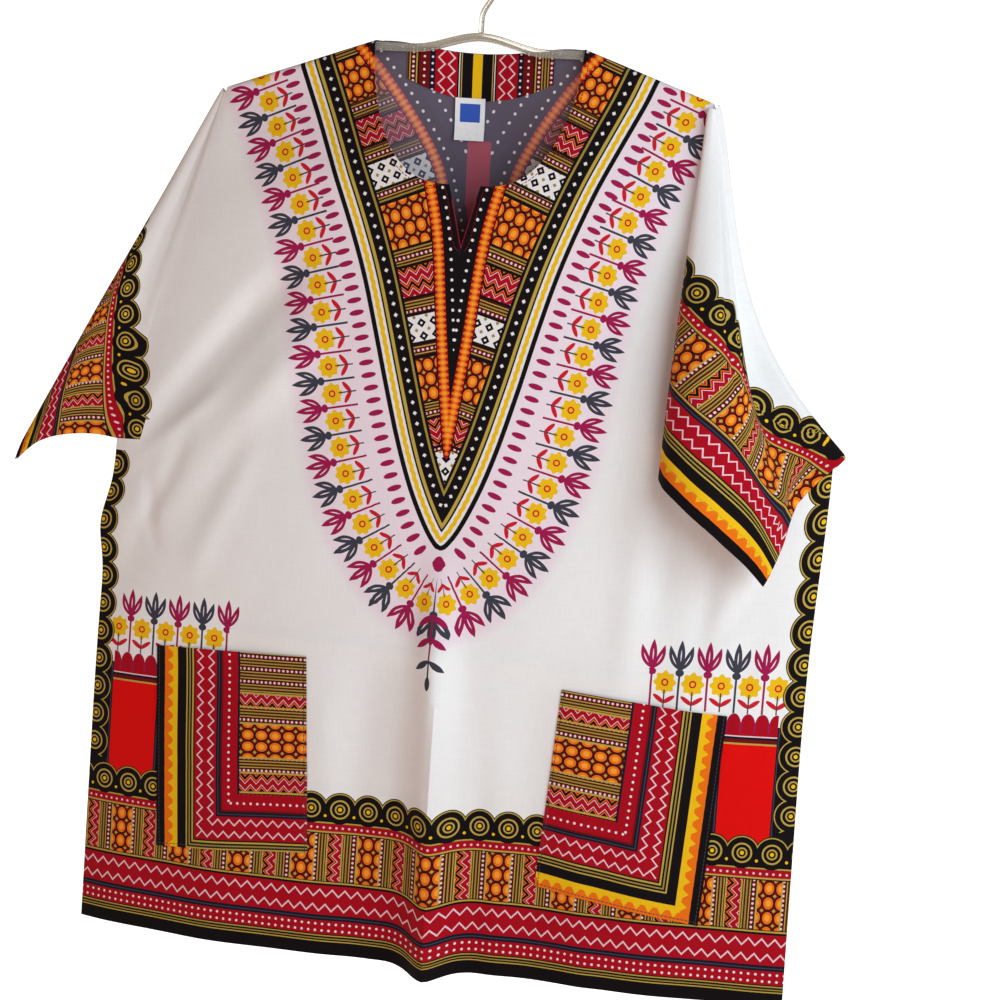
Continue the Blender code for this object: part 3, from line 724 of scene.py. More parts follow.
def ringPrint(u, v):
    # pink ground, a row of drops beside the yoke and the ring of sprigs round it
    along, inward = uvField(u.tree, "ring")
    colour, mask = sprigRow(along, 0.03 - inward)
    yokeAlong, yokeInward = uvField(u.tree, "yoke")
    drops = spot(apart(yokeAlong, 0.0109), yokeInward + 0.0115, 0.0024, 0.0066)
    stepDown = (v - 0.486) % 0.019
    half = abs(u)
    leafAlong = half * 0.8 + stepDown * 0.6 - 0.008
    leaves = below(timesPlus(leafAlong * leafAlong, 36.0, abs(half * 0.6 - stepDown * 0.8)), 0.0027)
    hanging = (leaves | below(half, 0.0008)) * near(v, 0.514, 0.0285)
    hanging = hanging | spot(half, v - 0.544, 0.0024, 0.006)
    soft = addNode(u.tree, "ShaderNodeMapRange", {"Value": inward, "From Min": -0.036, "From Max": -0.022})
    soft.interpolation_type = "SMOOTHSTEP"
    leafInk = paint("magenta", above(v, 0.523), "grey")
    return layered("cloth", (field(u.tree, soft.outputs[0]), "halo"), (mask, colour), (drops, "magenta"),
                   (hanging, leafInk)), 0.0


def yokePrint(u, v):
    # bands that follow the yoke's edge, small patches inside them, and the placket's V over the patches
    along, inward = uvField(u.tree, "yoke")
    lineAlong, lineInward = uvField(u.tree, "placket")
    bands = stripes(inward, 0.036, [
        (0, "black"), (0.004, "white"), (0.0125, "black"), (0.014, "gold"), (0.0168, "black"),
        (0.0275, "olive"), (0.0295, "black")])
    bands = layered(bands, (near(inward + zigzag(along, 0.008, 0.001), 0.0088, 0.0019), "yellow"),
                    (below(apart(along, 0.0095) + abs(inward - 0.0222), 0.0019), "white"))
    across = inward - 0.032
    place = along % 0.13
    patches = layered(patch("dotPatch", across, along),
                      (below(place, 0.04), patch("ovalPatch", along, across)),
                      (near(place, 0.064, 0.012), patch("diamondPatch", along, across)),
                      (near(place, 0.103, 0.013), patch("zigzagPatch", across, along)))
    patches = linesAt(patches, place, (0.0, 0.04, 0.052, 0.076, 0.09, 0.116), 0.0012, "black")
    beads = stripes(timesPlus(apart(lineAlong, 0.0052), 1.2, abs(lineInward - 0.0045)), 0.01, [
        (0, "amber"), (0.0024, "orange"), (0.0048, "red")])
    taper = calc("MINIMUM", (0.174 - v) * 0.26, 0.0105)  # a red slot that the slit's edges cover
    slot = below(abs(u), taper) * above(v, 0.08)
    inner = paint(stripes(lineInward, 0.06, [(0, "black"), (0.0225, "navy")]), slot, "red")
    dots = spot(apart(lineAlong, 0.0085), apart(lineInward - 0.015, 0.017), 0.0013, 0.0013)
    inner = paint(inner, dots * (above(lineInward, 0.01) - slot), "white")
    placket = paint(inner, near(lineInward, 0.0045, 0.0045), beads)
    colour = layered(patches, (below(along, 0.085), patch("diamondPatch", u, v)),
                     (below(inward, 0.032), bands), (above(lineInward, -0.001), placket),
                     (below(inward, 0.0), "halo"))
    edgeAlong, fromEdge = uvField(u.tree, "neckEdge")
    stitches = stitchLine(fromEdge - 0.0045, edgeAlong)
    return paint(colour, stitches, "darkRed"), below(fromEdge, 0.0055) * 2.0 - stitches * 1.5


def panelSides(half):
    # the red panel over the hem and the lines down its two sides
    return stripes(abs(half - pattern["panelMiddle"]), 0.031, [
        (0, "panelRed"), (0.0225, "navy"), (0.0236, "grey"), (0.0248, "black")])


def bordered(ground, lower, along, height, seam):
    # bands at the edge, the strip of patches above them, and the stitches of the turned edge
    foot = pattern["bandsHeight"]
    upper, mask = useGroup("patchBorder", Along=along, Height=height - foot)
    colour = paint(paint(ground, mask, upper), below(height, foot), lower)
    stitches = stitchLine(height - seam, along)
    return paint(colour, stitches, "gold"), below(height, seam + 0.001) * 2.5 - stitches * 1.5


def hemPrint(u, v):
    height = cut["length"] - v
    lower = stripes(height, 0.066, [
        (0, "black"), (0.0112, "gold"), (0.0122, "black"), (0.0136, "olive"), (0.0146, "black"),
        (0.016, "gold"), (0.0172, "black"), (0.0182, "red"), (0.03, "navy"), (0.0318, "grey"),
        (0.0328, "navy"), (0.035, "red"), (0.061, "black")])
    lower = zigzagPair(lower, u, height, 0.011, 0.006, (0.0385, 0.0575), 0.0009)
    for level in (0.0212, 0.027):
        lower = dotLine(lower, u, 0.006, height - level, 0.0011, "white")
    ground = paint("cloth", above(abs(u), 0.244), panelSides(abs(u)))
    return bordered(ground, lower, u, height, 0.0168)


def cuffPrint(u, v):
    along, height = uvField(u.tree, "cuff")
    return bordered("cloth", useGroup("edgeBands", Along=along, Height=height), along, height, 0.015)


def sidePrint(u, v):
    # ring band down the side seam, a red panel above the hem and a row of sprigs over it
    half = abs(u)
    middle, top, pitch = pattern["panelMiddle"], pattern["panelTop"], pattern["domePitch"]
    colour, mask = sprigRow(half - 0.2115, 0.55 - v)
    wholeCells = near(half - above(v, 0.517) * 0.009, 0.2353, 0.0585)
    colour = paint("cloth", mask * wholeCells, colour)
    dome = squared(apart(half, pitch), calc("MINIMUM", v - top, 0.0), 0.0061, 0.01)
    redField = near(half, middle, pattern["fieldHalf"])
    panel = stripes(v - 0.54, 0.13, [
        (0, "red"), (0.027, "pinkWhite"), (0.0284, "navy"), (0.03, "darkRed"), (0.0335, "gold"),
        (0.0347, "panelRed")])
    fringe = below(apart(half + pitch / 2, pitch), 0.001) * below(v, 0.565)
    panel = paint(panel, fringe | above(dome, 0.78) * below(v, top), "magenta")
    panel = paint(panelSides(half), redField, panel)
    inPanel = (below(dome, 1.0) * redField | above(v, top)) * near(half, middle, pattern["panelHalf"])
    colour = paint(colour, inPanel, panel)
    colour = paint(colour, above(half, 0.2984) * above(v, 0.566), "black")
    rings, ringMask = useGroup("ringBand", Along=v + 0.017, Height=0.313 - half)
    return paint(colour, ringMask * above(v, 0.37), rings), 0.0


def pocketPrint(u, v):
    # bands turn the outer lower corner; the block inside them carries rows of patches
    side, low = uvField(u.tree, "pocket")
    nearest = calc("MINIMUM", side, low)
    bands = useGroup("edgeBands", Along=side | low, Height=nearest)
    zigzags = patch("zigzagPatch", side, low)
    block = layered(patch("dotPatch", side, low), (near(low, 0.125, 0.015), patch("ovalPatch", side, low)),
                    (near(low, 0.0885, 0.0085), zigzags), (near(low, 0.16, 0.006), zigzags))
    block = linesAt(block, low, (0.08, 0.097, 0.11, 0.14, 0.154, 0.166), 0.0008, "gold")
    upright, foot = uvField(u.tree, "pocketEdge")
    stitches = stitchLine(upright - 0.0024, v) | stitchLine(foot - 0.0024, u)
    return layered(block, (near(side, 0.079, 0.001), "navy"), (below(nearest, 0.078), bands),
                   (stitches, "grey")), stitches * -2.0


def facingPrint(u, v):
    # upright bands, mirrored at the centre back
    half = abs(u + 0.004)
    colour = stripes(half, 0.07, [
        (0, "yellow"), (0.004, "black"), (0.013, "gold"), (0.0138, "black"), (0.015, "white"),
        (0.0157, "black"), (0.017, "red"), (0.036, "navy"), (0.041, "darkRed"), (0.05, "black"),
        (0.0512, "gold"), (0.0524, "darkRed")])
    colour = zigzagPair(colour, v, half, 0.011, 0.0055, (0.0195, 0.0335), 0.0008)
    for level in (0.0385, 0.0455):
        colour = dotLine(colour, v, 0.0055, half - level, 0.001, "white")
    return paint(colour, above(half, 0.0524), patch("dotPatch", v, half)), 0.0


def newMaterial(name, settings):
    material = bpy.data.materials.new(name)
    material.use_nodes = True
    shader = material.node_tree.nodes["Principled BSDF"]
    for label, value in settings.items():
        shader.inputs[label].default_value = value
    return material, material.node_tree, shader


def bumpOf(height, strength, distance):
    bump = addNode(height.tree, "ShaderNodeBump",
                   {"Strength": strength, "Distance": distance, "Height": height})
    return field(height.tree, bump.outputs[0])


def cottonMaterial(name, printOf):
    # one printed zone of the cotton: the print, its pale wrong side, weave, slubs and a matt sheen
    material, tree, shader = newMaterial(
        name, {"Sheen Weight": 0.03, "Sheen Roughness": 0.5, "Specular IOR Level": 0.1})
    printed, relief = printOf(*uvField(tree, "flat"))
    tint, height = useGroup("cottonWeave", tree)
    height = height + relief
    inside = tree.nodes.new("ShaderNodeAttribute")
    inside.attribute_name = "inside"
    colour = paint(printed, field(tree, inside.outputs["Fac"]) * 0.2, "wrongSide")
    feed(shader.inputs["Base Color"], paint(colour, 1.0, tint, "MULTIPLY"))
    feed(shader.inputs["Roughness"], timesPlus(height, 0.03, 0.8))
    feed(shader.inputs["Normal"], bumpOf(height, 0.6, 0.0004))
    return material


zones = {}
for printOf in (plainPrint, ringPrint, yokePrint, hemPrint, cuffPrint, sidePrint, pocketPrint, facingPrint):
    name = printOf.__name__.removesuffix("Print")
    zones[name] = cottonMaterial(name + "Cotton", printOf)
print("cotton:", len(zones), "printed zones")


# Where the prints begin and end on the flat cut, in metres.
zoneEdges = {
    "sideHalf": 0.165,
    "seamHalf": 0.28,
    "sideDrops": (0.488, 0.668),
    "ringWidth": 0.046,
    "dropRow": 0.026,
    "stemHalf": 0.026,
    "stemDrops": (0.47, 0.556),
    "yokeInward": -0.003,
    "yokeEnd": 0.45,
    "hemHeight": 0.148,
    "leftCuffHalf": 0.258,
    "rightCuffHalf": 0.29,
}


def within(x, low, high):
    return (x > low) & (x < high)


def zoneOf(flat, yoke, ring, sleeve):
    # which print each face takes, from the flat place of its middle
    half, drop, inward = np.abs(flat[:, 0]), flat[:, 1], yoke[:, 1]
    top, low = zoneEdges["sideDrops"]
    zone = np.full(len(flat), "plain", dtype=object)
    if not sleeve:
        zone[(half > zoneEdges["sideHalf"]) & within(drop, top, low)] = "side"
        zone[(half > zoneEdges["seamHalf"]) & within(drop, cut["armpitDrop"], low)] = "side"
        zone[np.abs(ring[:, 1]) < zoneEdges["ringWidth"]] = "ring"
        zone[within(inward, -zoneEdges["dropRow"], 0)] = "ring"
        zone[(half < zoneEdges["stemHalf"]) & within(drop, *zoneEdges["stemDrops"])] = "ring"
        zone[(inward > zoneEdges["yokeInward"]) & (drop < zoneEdges["yokeEnd"])] = "yoke"
        zone[drop > cut["length"] - zoneEdges["hemHeight"]] = "hem"
    cuffFrom = np.where(flat[:, 0] < 0, zoneEdges["leftCuffHalf"], zoneEdges["rightCuffHalf"])
    zone[(half > cuffFrom) & (drop <= cut["armpitDrop"])] = "cuff"
    return zone


def newPiece(name, points, faces):
    mesh = bpy.data.meshes.new(name)
    mesh.from_pydata(np.asarray(points, float).tolist(), [], faces)
    mesh.update()
    piece = bpy.data.objects.new(name, mesh)
    bpy.context.scene.collection.objects.link(piece)
    bpy.ops.object.select_all(action="DESELECT")
    piece.select_set(True)
    bpy.context.view_layer.objects.active = piece
    return piece


def makeSheet(name, points, flat, faces, flip=False, zone=None, extra=None, thickness=drape["cloth"]):
    # an open surface with its flat place kept as UV maps, thickened to the cloth's real wall
    if flip:
        faces = [face[::-1] for face in faces]
    piece = newPiece(name, points, faces)
    mesh = piece.data
    maps = {label: alongGuide(label, flat) for label in ("yoke", "ring", "placket")}
    cuffMap = np.stack([flat[:, 1], cut["cuffHalf"] - np.abs(flat[:, 0])], axis=-1)
    maps = {"flat": flat, **maps, "cuff": cuffMap, "neckEdge": cuffMap, **(extra or {})}
    corner = np.zeros(len(mesh.loops), int)
    mesh.loops.foreach_get("vertex_index", corner)
    for label, values in maps.items():
        layer = mesh.uv_layers.new(name=label)
        layer.uv.foreach_set("vector", np.asarray(values, np.float32)[corner].ravel())
    if zone is None:
        middle = [maps[label][np.array(faces)].mean(axis=1) for label in ("flat", "yoke", "ring")]
        zone = zoneOf(*middle, name.startswith("sleeve"))
    else:
        zone = np.full(len(faces), zone, dtype=object)
    used = sorted(set(zone))
    for label in used:
        mesh.materials.append(zones[label])
    mesh.polygons.foreach_set("material_index", [used.index(label) for label in zone])
    normals = np.zeros(len(points) * 3)
    mesh.vertex_normals.foreach_get("vector", normals)
    wall = piece.modifiers.new("Wall", "SOLIDIFY")
    wall.thickness = thickness
    wall.offset = 0
    bpy.ops.object.modifier_apply(modifier="Wall")
    places = np.zeros(len(piece.data.vertices) * 3)
    piece.data.vertices.foreach_get("co", places)
    places = places.reshape(-1, 3)
    moved = places[:len(points)] - np.asarray(points)
    outward = (moved * normals.reshape(-1, 3)).sum() > 0
    inside = (np.arange(len(places)) >= len(points)) == outward
    layer = piece.data.attributes.new("inside", "FLOAT", "POINT")
    layer.data.foreach_set("value", inside.astype(np.float32))
    bpy.ops.object.shade_smooth_by_angle(angle=math.radians(50))
    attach(piece, "root")
    return piece


# How the left cuff's bands widen towards the underarm, and the slanting edge where they end on the front.
cuffBands = {
    "widening": 0.75,
    "widenFrom": 0.15,
    "edgeDrop": 0.317,
    "edgeHalf": 0.268,
    "edgeSlant": 0.52,
    "pastBands": 0.3,
}


def leftCuff(flat):
    # length along the left cuff's bands and height over the cuff
    drop = flat[:, 1]
    narrowed = 1 - cuffBands["widening"] * np.maximum(drop - cuffBands["widenFrom"], 0)
    return np.stack([drop, (cut["cuffHalf"] - np.abs(flat[:, 0])) * narrowed], axis=-1)


def frontCuff(flat):
    # the left cuff's bands run on over the front, as far as the underarm's slanting edge
    half, drop = np.abs(flat[:, 0]), flat[:, 1]
    left = leftCuff(flat)
    lower = drop - cuffBands["edgeDrop"]
    beyondEdge = (lower > 0) & (half < cuffBands["edgeHalf"] + cuffBands["edgeSlant"] * lower)
    left[:, 1] += np.where(beyondEdge, cuffBands["pastBands"], 0.0)
    right = np.stack([drop, cut["cuffHalf"] - half], axis=-1)
    return np.where(flat[:, :1] < 0, left, right)


panelColumns = 76


def frontPanel():
    rows = panelRows()
    flat = []
    index = {}
    for i, (inner, outer) in enumerate(rows):
        start = frontInner(inner)
        for side in (-1, 1):
            end = outerPoint(outer, side)
            for j, t in enumerate(np.linspace(0, 1, panelColumns)):
                if side < 0 and j == 0 and inner >= 2:
                    continue
                u, v = mix(start, end, t)
                index[side, i, j] = len(flat)
                flat.append((side * u, v))
        if inner >= 2:  # the halves share the centre line
            index[-1, i, 0] = index[1, i, 0]
    faces = []
    for side in (-1, 1):
        for i in range(len(rows) - 1):
            for j in range(panelColumns - 1):
                quad = tuple(index[side, i + a, j + b] for a, b in ((0, 0), (1, 0), (1, 1), (0, 1)))
                faces.append(quad[::side])
    flat = np.array(flat)
    points = hang(flat, frontFolds, frontCreases, -1)
    piece = makeSheet("frontSheet", points, flat, faces, extra={
        "neckEdge": alongGuide("neckline", flat) * (1, -1), "cuff": frontCuff(flat)})
    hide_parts("front_panel")
    return piece


def backNeckDrop(u):
    share = np.clip(np.abs(u) / cut["neckHalf"], 0, 1)
    rise = cut["backNeckRise"] * np.sin(math.pi * share ** 1.6) * share
    return cut["backNeckDrop"] * (1 - share ** 2) - rise


def backPanel():
    # rows run from the neckline and shoulders at the top to the hem, over the full width
    stations = [outer for _, outer in panelRows()]
    shoulder = 34
    neck = np.linspace(0, 1, panelColumns - shoulder)
    slope = np.linspace(0, 1, shoulder + 1)[1:]
    flat = []
    for station in stations:
        halves = {}
        for side in (-1, 1):
            outer = outerPoint(station, side)
            tip = tipOf(side)
            neckShare = cut["neckHalf"] / tip[0]
            share = np.concatenate([neck * neckShare, neckShare + (1 - neckShare) * slope])
            drop = np.full(len(share), outer[1])
            if station <= 1:
                top = np.concatenate([backNeckDrop(neck * cut["neckHalf"]),
                                      shoulderDrop(cut["neckHalf"] + (tip[0] - cut["neckHalf"]) * slope)])
                fade = 1 - smooth(np.array(station), 0.0, 1.0)
                level = mix(outer[1] - tip[1], outer[1], share ** 2)
                drop = level * (1 - fade) + (top + outer[1] - tip[1]) * fade
            halves[side] = np.stack([side * share * outer[0], drop], axis=-1)
        flat.append(np.vstack([halves[-1][::-1], halves[1][1:]]))
    faces = gridFaces(len(stations), 2 * panelColumns - 1)
    flat = np.vstack(flat)
    fromNeck = flat[:, 1] - backNeckDrop(flat[:, 0]) + np.maximum(np.abs(flat[:, 0]) - cut["neckHalf"], 0)
    piece = makeSheet("backSheet", hang(flat, backFolds, backCreases, 1), flat, faces, flip=True,
                      extra={"neckEdge": np.stack([flat[:, 0], fromNeck], axis=-1)})
    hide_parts("back_panel")
    return piece


front = frontPanel()
back = backPanel()
print("front and back:", len(front.data.polygons) + len(back.data.polygons), "faces")

# Section of each hanging sleeve from the armhole to the shoulder seam: flat angle and swing in degrees,
# then in millimetres, near the shoulder tip and at the cuff, the set aside, the stand-off and half the
# thickness. The values above the tables say how the tube closes and where the right cuff's bands lie.
sleeve = {
    "growth": (0.02, 0.25),
    "sectionStep": 1.9,
    "armholeGap": 0.0001,
    "underarmHalf": 0.0009,
    "armholeBlend": 12.0,
    "closing": 9,
    "bowed": (0.1, 0.55),
    "squeezed": (0.0, 0.5),
    "swungClear": (0.2, 7.0),
    "foldClear": (0.4, 0.5),
    "ringHalf": 0.316,
    "lineFrom": 0.200,
    "lineReach": 0.07,
    "lineSpread": 9,
    "bandTurn": (0.255, 0.300),
    "bandFade": (0.360, 0.400),
    "right": [
        (71.7, 0.0, 0.0, 0.0, 0.0, 0.0, 1.1, 3.0), (71.3, 0.0, 1.0, 2.0, 0.0, 0.0, 1.1, 3.0),
        (70.8, 0.0, 3.3, 6.4, 1.0, 1.8, 1.1, 3.0), (70.2, 0.0, 4.2, 8.2, 3.2, 6.2, 1.1, 3.0),
        (69.6, -0.2, 3.3, 6.4, 5.4, 10.6, 1.1, 3.0), (68.2, -3.0, 0.0, 0.0, 6.4, 12.6, 1.1, 3.0),
        (66.4, -5.4, 0.0, 0.0, 6.4, 12.6, 1.3, 3.0), (64.8, -7.0, 0.0, 0.0, 6.6, 15.0, 1.3, 3.2),
        (62.4, -8.2, 0.0, 0.0, 6.9, 26.0, 1.3, 3.6), (59.6, -9.2, 0.0, 0.0, 7.4, 38.0, 1.3, 4.4),
        (56.6, -10.4, 0.0, 0.0, 8.0, 45.0, 1.3, 6.0), (52.9, -12.2, 0.0, 0.0, 8.8, 48.0, 1.3, 8.0),
        (47.5, -17.6, 0.0, 0.0, 9.6, 47.0, 1.3, 8.5), (43.0, -22.4, 0.0, 0.0, 10.0, 41.0, 1.3, 7.0),
        (40.6, -24.8, -2.0, -0.5, 9.2, 33.0, 1.1, 4.5), (39.2, -25.4, -2.9, -2.0, 7.1, 24.0, 1.1, 3.5),
        (37.8, -25.0, -2.0, -1.0, 5.0, 15.0, 1.1, 3.0), (35.4, -24.0, -0.8, 0.0, 4.3, 10.0, 1.0, 3.0),
        (29.0, -21.6, -0.9, 0.0, 4.2, 8.6, 1.0, 3.2), (19.5, -18.6, -0.9, 0.0, 4.2, 8.6, 1.0, 2.6),
    ],
    "left": [
        (71.7, 0.0, 0.0, 0.0, 0.0, 0.0, 1.1, 3.0), (70.6, 2.4, 0.3, 0.6, 0.0, -0.3, 1.1, 3.2),
        (67.0, 6.2, 0.0, 1.0, 0.0, -2.0, 1.1, 4.5), (60.0, 10.8, 0.0, 1.0, 0.0, -4.0, 1.1, 6.0),
        (54.6, 12.4, 0.0, 1.0, 0.0, -2.5, 1.1, 5.0), (52.4, 13.0, 2.6, 1.2, 1.0, 3.5, 1.1, 4.0),
        (50.8, 13.2, 3.8, 1.4, 3.5, 11.0, 1.1, 3.0), (49.2, 12.6, 2.6, 1.0, 6.0, 19.0, 1.1, 3.0),
        (46.0, 9.8, 0.0, 0.0, 7.0, 25.0, 1.1, 3.4), (38.0, 2.6, 0.0, 0.0, 7.0, 28.0, 1.1, 6.0),
        (29.0, -5.6, 0.0, 0.0, 6.2, 28.0, 1.1, 8.0), (22.4, -11.2, 0.0, 0.0, 5.8, 26.6, 1.1, 5.0),
        (19.5, -14.0, 0.0, 0.0, 5.4, 26.0, 1.1, 3.0),
    ],
}


def curveThrough(x, y, wanted):
    # a cubic through the points of a table that doesn't overshoot them
    slope = np.diff(y) / np.diff(x)
    tangent = np.zeros_like(y)
    both = slope[:-1] * slope[1:]
    steady = both > 0
    tangent[1:-1][steady] = 2 * both[steady] / (slope[:-1] + slope[1:])[steady]
    tangent[0], tangent[-1] = slope[0], slope[-1]
    i = np.clip(np.searchsorted(x, wanted) - 1, 0, len(x) - 2)
    width = x[i + 1] - x[i]
    t = (wanted - x[i]) / width
    start = (2 * t ** 3 - 3 * t ** 2 + 1) * y[i] + (t ** 3 - 2 * t ** 2 + t) * width * tangent[i]
    return start + (3 * t ** 2 - 2 * t ** 3) * y[i + 1] + (t ** 3 - t ** 2) * width * tangent[i + 1]


def sleeveSection(table, corner):
    rows = np.array(table, float)
    step = np.hypot(np.diff(rows[:, 1] * 4.0 + rows[:, 3]), np.diff(rows[:, 5]))
    station = np.concatenate([[0], np.cumsum(step + 0.5)])
    wanted = [0.0]
    for low, high in zip(station[:-1], station[1:]):
        parts = max(2, round((high - low) / sleeve["sectionStep"]))
        wanted.extend(low + (high - low) * k / parts for k in range(1, parts + 1))
    wanted = np.array(wanted)
    atCorner = np.interp(-corner, -rows[:, 0], station)
    wanted[np.argmin(np.abs(wanted - atCorner))] = atCorner
    return wanted, [curveThrough(station, rows[:, k], wanted) for k in range(rows.shape[1])]


def evenly(line, count):
    # points at even steps of a line's length; its columns are the flat drop and the place
    length = np.concatenate([[0], np.cumsum(np.linalg.norm(np.diff(line[:, 1:], axis=0), axis=1))])
    even = np.linspace(0, length[-1], count)
    return even, np.stack([np.interp(even, length, line[:, k]) for k in range(4)], axis=-1)


def rightCuff(points, flat, columns):
    # near the right armpit the cloth is drawn aside, so the bands are measured from where the middle of
    # the ring band lies on the outer layer
    ringHalf, turn = sleeve["ringHalf"], sleeve["bandTurn"]
    place = np.moveaxis(points.reshape(-1, 2 * columns, 3)[:, columns:], -1, 0)
    half, drop = np.moveaxis(flat.reshape(-1, 2 * columns, 2)[:, columns:], -1, 0)
    line = []
    for k in np.flatnonzero((half[-1] > ringHalf) & (drop[-1] > sleeve["lineFrom"])):
        line.append([np.interp(ringHalf, half[:, k], values[:, k]) for values in (drop, *place)])
    line = evenly(np.array(sorted(line)), 120)[1]
    spread = sleeve["lineSpread"]
    for _ in range(3):
        ends = np.pad(line, ((spread, spread), (0, 0)), mode="reflect", reflect_type="odd")
        line = np.stack([ends[j:j + len(line)] for j in range(2 * spread + 1)]).mean(axis=0)
    # both ends run on straight, past the sleeve's corners
    steps = np.arange(1, 81)[:, None]
    before = line[0] - (line[6] - line[0]) / 6 * steps[::-1]
    after = line[-1] + (line[-1] - line[-7]) / 6 * steps
    even, line = evenly(np.concatenate([before, line, after]), 700)
    even = even - np.interp(turn[0], line[:, 0], even) + turn[0]
    half, drop = flat[:, 0], flat[:, 1]
    away = np.linalg.norm(points[:, None] - line[None, :, 1:], axis=-1)
    away = away + np.where(np.abs(drop[:, None] - line[None, :, 0]) > sleeve["lineReach"], 1.0, 0.0)
    nearest = away.argmin(axis=1)
    height = cut["cuffHalf"] - ringHalf + np.sign(ringHalf - half) * away[np.arange(len(points)), nearest]
    share = (smooth(drop, *turn) * (1 - smooth(half, *sleeve["bandFade"])))[:, None]
    plain = np.stack([drop, cut["cuffHalf"] - half], axis=-1)
    return plain * (1 - share) + np.stack([even[nearest], height], axis=-1) * share


def swung(tip, radius, turn, bend):
    # half and drop at a distance from the shoulder tip, drawn in by the armhole's bow
    return (tip[0] + radius * np.sin(turn) + sleeve["armholeGap"] - bend,
            tip[1] + radius * np.cos(turn) + drape["bowSag"] * bend)


def hangingSleeve(name, side, table, folds, facing, replaced):
    # a flattened tube that hangs from the shoulder tip and is folded over on itself
    tip = tipOf(side)
    armpit = np.array([cut["armpitHalf"], cut["armpitDrop"]])
    shiftX, shiftDrop = drape["rightArmpit"] if side > 0 else drape["leftArmpit"]
    hung = armpit + np.array([shiftX, -shiftDrop])
    bow = drape["rightBow"] if side > 0 else 0.0
    line = math.atan2(hung[0] - tip[0], hung[1] - tip[1])
    armhole = np.hypot(*(armpit - tip))
    squeeze = np.hypot(*(hung - tip)) / armhole
    toArmpit, toCorner = armpit[1] - tip[1], cut["cuffHalf"] - tip[0]
    corner = math.degrees(math.atan2(toArmpit, toCorner))
    first = math.degrees(math.atan2(toArmpit, cut["armpitHalf"] - tip[0]))
    station, section = sleeveSection(table, corner)
    angle, swing, asideNear, asideFar, offNear, offFar, halfNear, halfFar = section
    turned = corner + (angle - corner) * (first - corner) / (table[0][0] - corner)
    angle = np.where(angle > corner, turned, angle)
    cosine, sine = np.cos(np.radians(angle)), np.sin(np.radians(angle))
    reach = np.where(angle > corner, toArmpit / sine, toCorner / cosine)
    closed = smooth(angle, corner - sleeve["closing"], corner)
    share = station / station[-1]
    atArmhole = np.clip(1 - station / sleeve["armholeBlend"], 0, 1)
    bent = 1 - smooth(share, *sleeve["bowed"])
    offBody = np.maximum(smooth(np.abs(swing), *sleeve["swungClear"]), smooth(share, *sleeve["foldClear"]))
    downs = np.concatenate([[0.015, 0.03, 0.045], np.linspace(0.06, 1, 82)])
    points = []
    flat = []
    for down in downs:
        cutReach = reach * down
        radius = cutReach * mix(squeeze, 1, smooth(share, *sleeve["squeezed"]))
        far = smooth(cutReach, *sleeve["growth"])
        along = radius * np.radians(swing) + mix(asideNear, asideFar, far) / 1000
        depth = mix(offNear, offFar, far) / 1000
        tube = mix(sleeve["underarmHalf"], mix(halfNear, halfFar, far) / 1000, 1 - closed * down ** 3)
        edgeShare = np.clip(cutReach / armhole, 0, 1)
        rim = edgeDepth(mix(tip[1], cut["armpitDrop"], edgeShare), side)
        tube = mix(tube, rim, atArmhole)
        bend = bow * np.sin(math.pi * edgeShare ** 1.3) * bent
        middleX, middleV = swung(tip, radius, line + along / radius, bend)
        around = [side * middleX + step for step in (-0.004, 0.0, 0.004)]
        body = np.mean([halfDepth(u, middleV, folds) for u in around], axis=0)
        depth = depth + (body - drape["halfStep"]) * offBody
        ahead = np.gradient(along, station)
        climb = np.gradient(depth, station)
        climb[0] = 0
        size = np.hypot(ahead, climb)
        places = np.stack([side * (tip[0] + cutReach * cosine), tip[1] + cutReach * sine], axis=-1)
        uneven = 0.5 * ripple(3 * places[:, 0] + 0.02, 3 * places[:, 1]) * far * (1 - atArmhole)
        for layer in (1, -1):
            x, v = swung(tip, radius, line + (along - layer * tube * climb / size) / radius, bend)
            y = facing * (depth + layer * tube * ahead / size + uneven)
            points.append(np.stack([side * x, y, cut["neckLevel"] - v], axis=-1)[::layer])
            flat.append(places[::layer])
    faces = gridFaces(len(downs), 2 * len(angle))
    flat = np.vstack(flat)
    points = np.vstack(points)
    bands = rightCuff(points, flat, len(angle)) if side > 0 else leftCuff(flat)
    piece = makeSheet(name, points, flat, faces, flip=side * facing > 0, extra={"cuff": bands})
    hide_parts(replaced)
    print(name, len(piece.data.polygons), "faces")


hangingSleeve("sleeveRightSheet", 1, sleeve["right"], frontFolds, -1, "sleeve_right")
hangingSleeve("sleeveLeftSheet", -1, sleeve["left"], backFolds, 1, "sleeve_left")

# Patch pockets: half widths and drops of the corners, the right one sagging a little more.
pocket = {
    "top": (0.113, 0.254),
    "bottom": (0.101, 0.243),
    "topDrop": (0.534, 0.539),
    "bottomDrop": (0.706, 0.718),
    "rightSag": (0.007, 0.013),
    "lift": 0.0011,
    "mouthLift": 0.0012,
    "leftBandStart": 0.029,
    "rightBandStart": 0.008,
    "columns": 45,
    "rows": 53,
}


def patchGrid(corners, columns, rows):
    topLeft, topRight, bottomLeft, bottomRight = (np.array(c) for c in corners)
    flat = []
    for t in np.linspace(0, 1, rows):
        left, right = mix(topLeft, bottomLeft, t), mix(topRight, bottomRight, t)
        flat.extend(mix(left, right, s) for s in np.linspace(0, 1, columns))
    return np.array(flat)


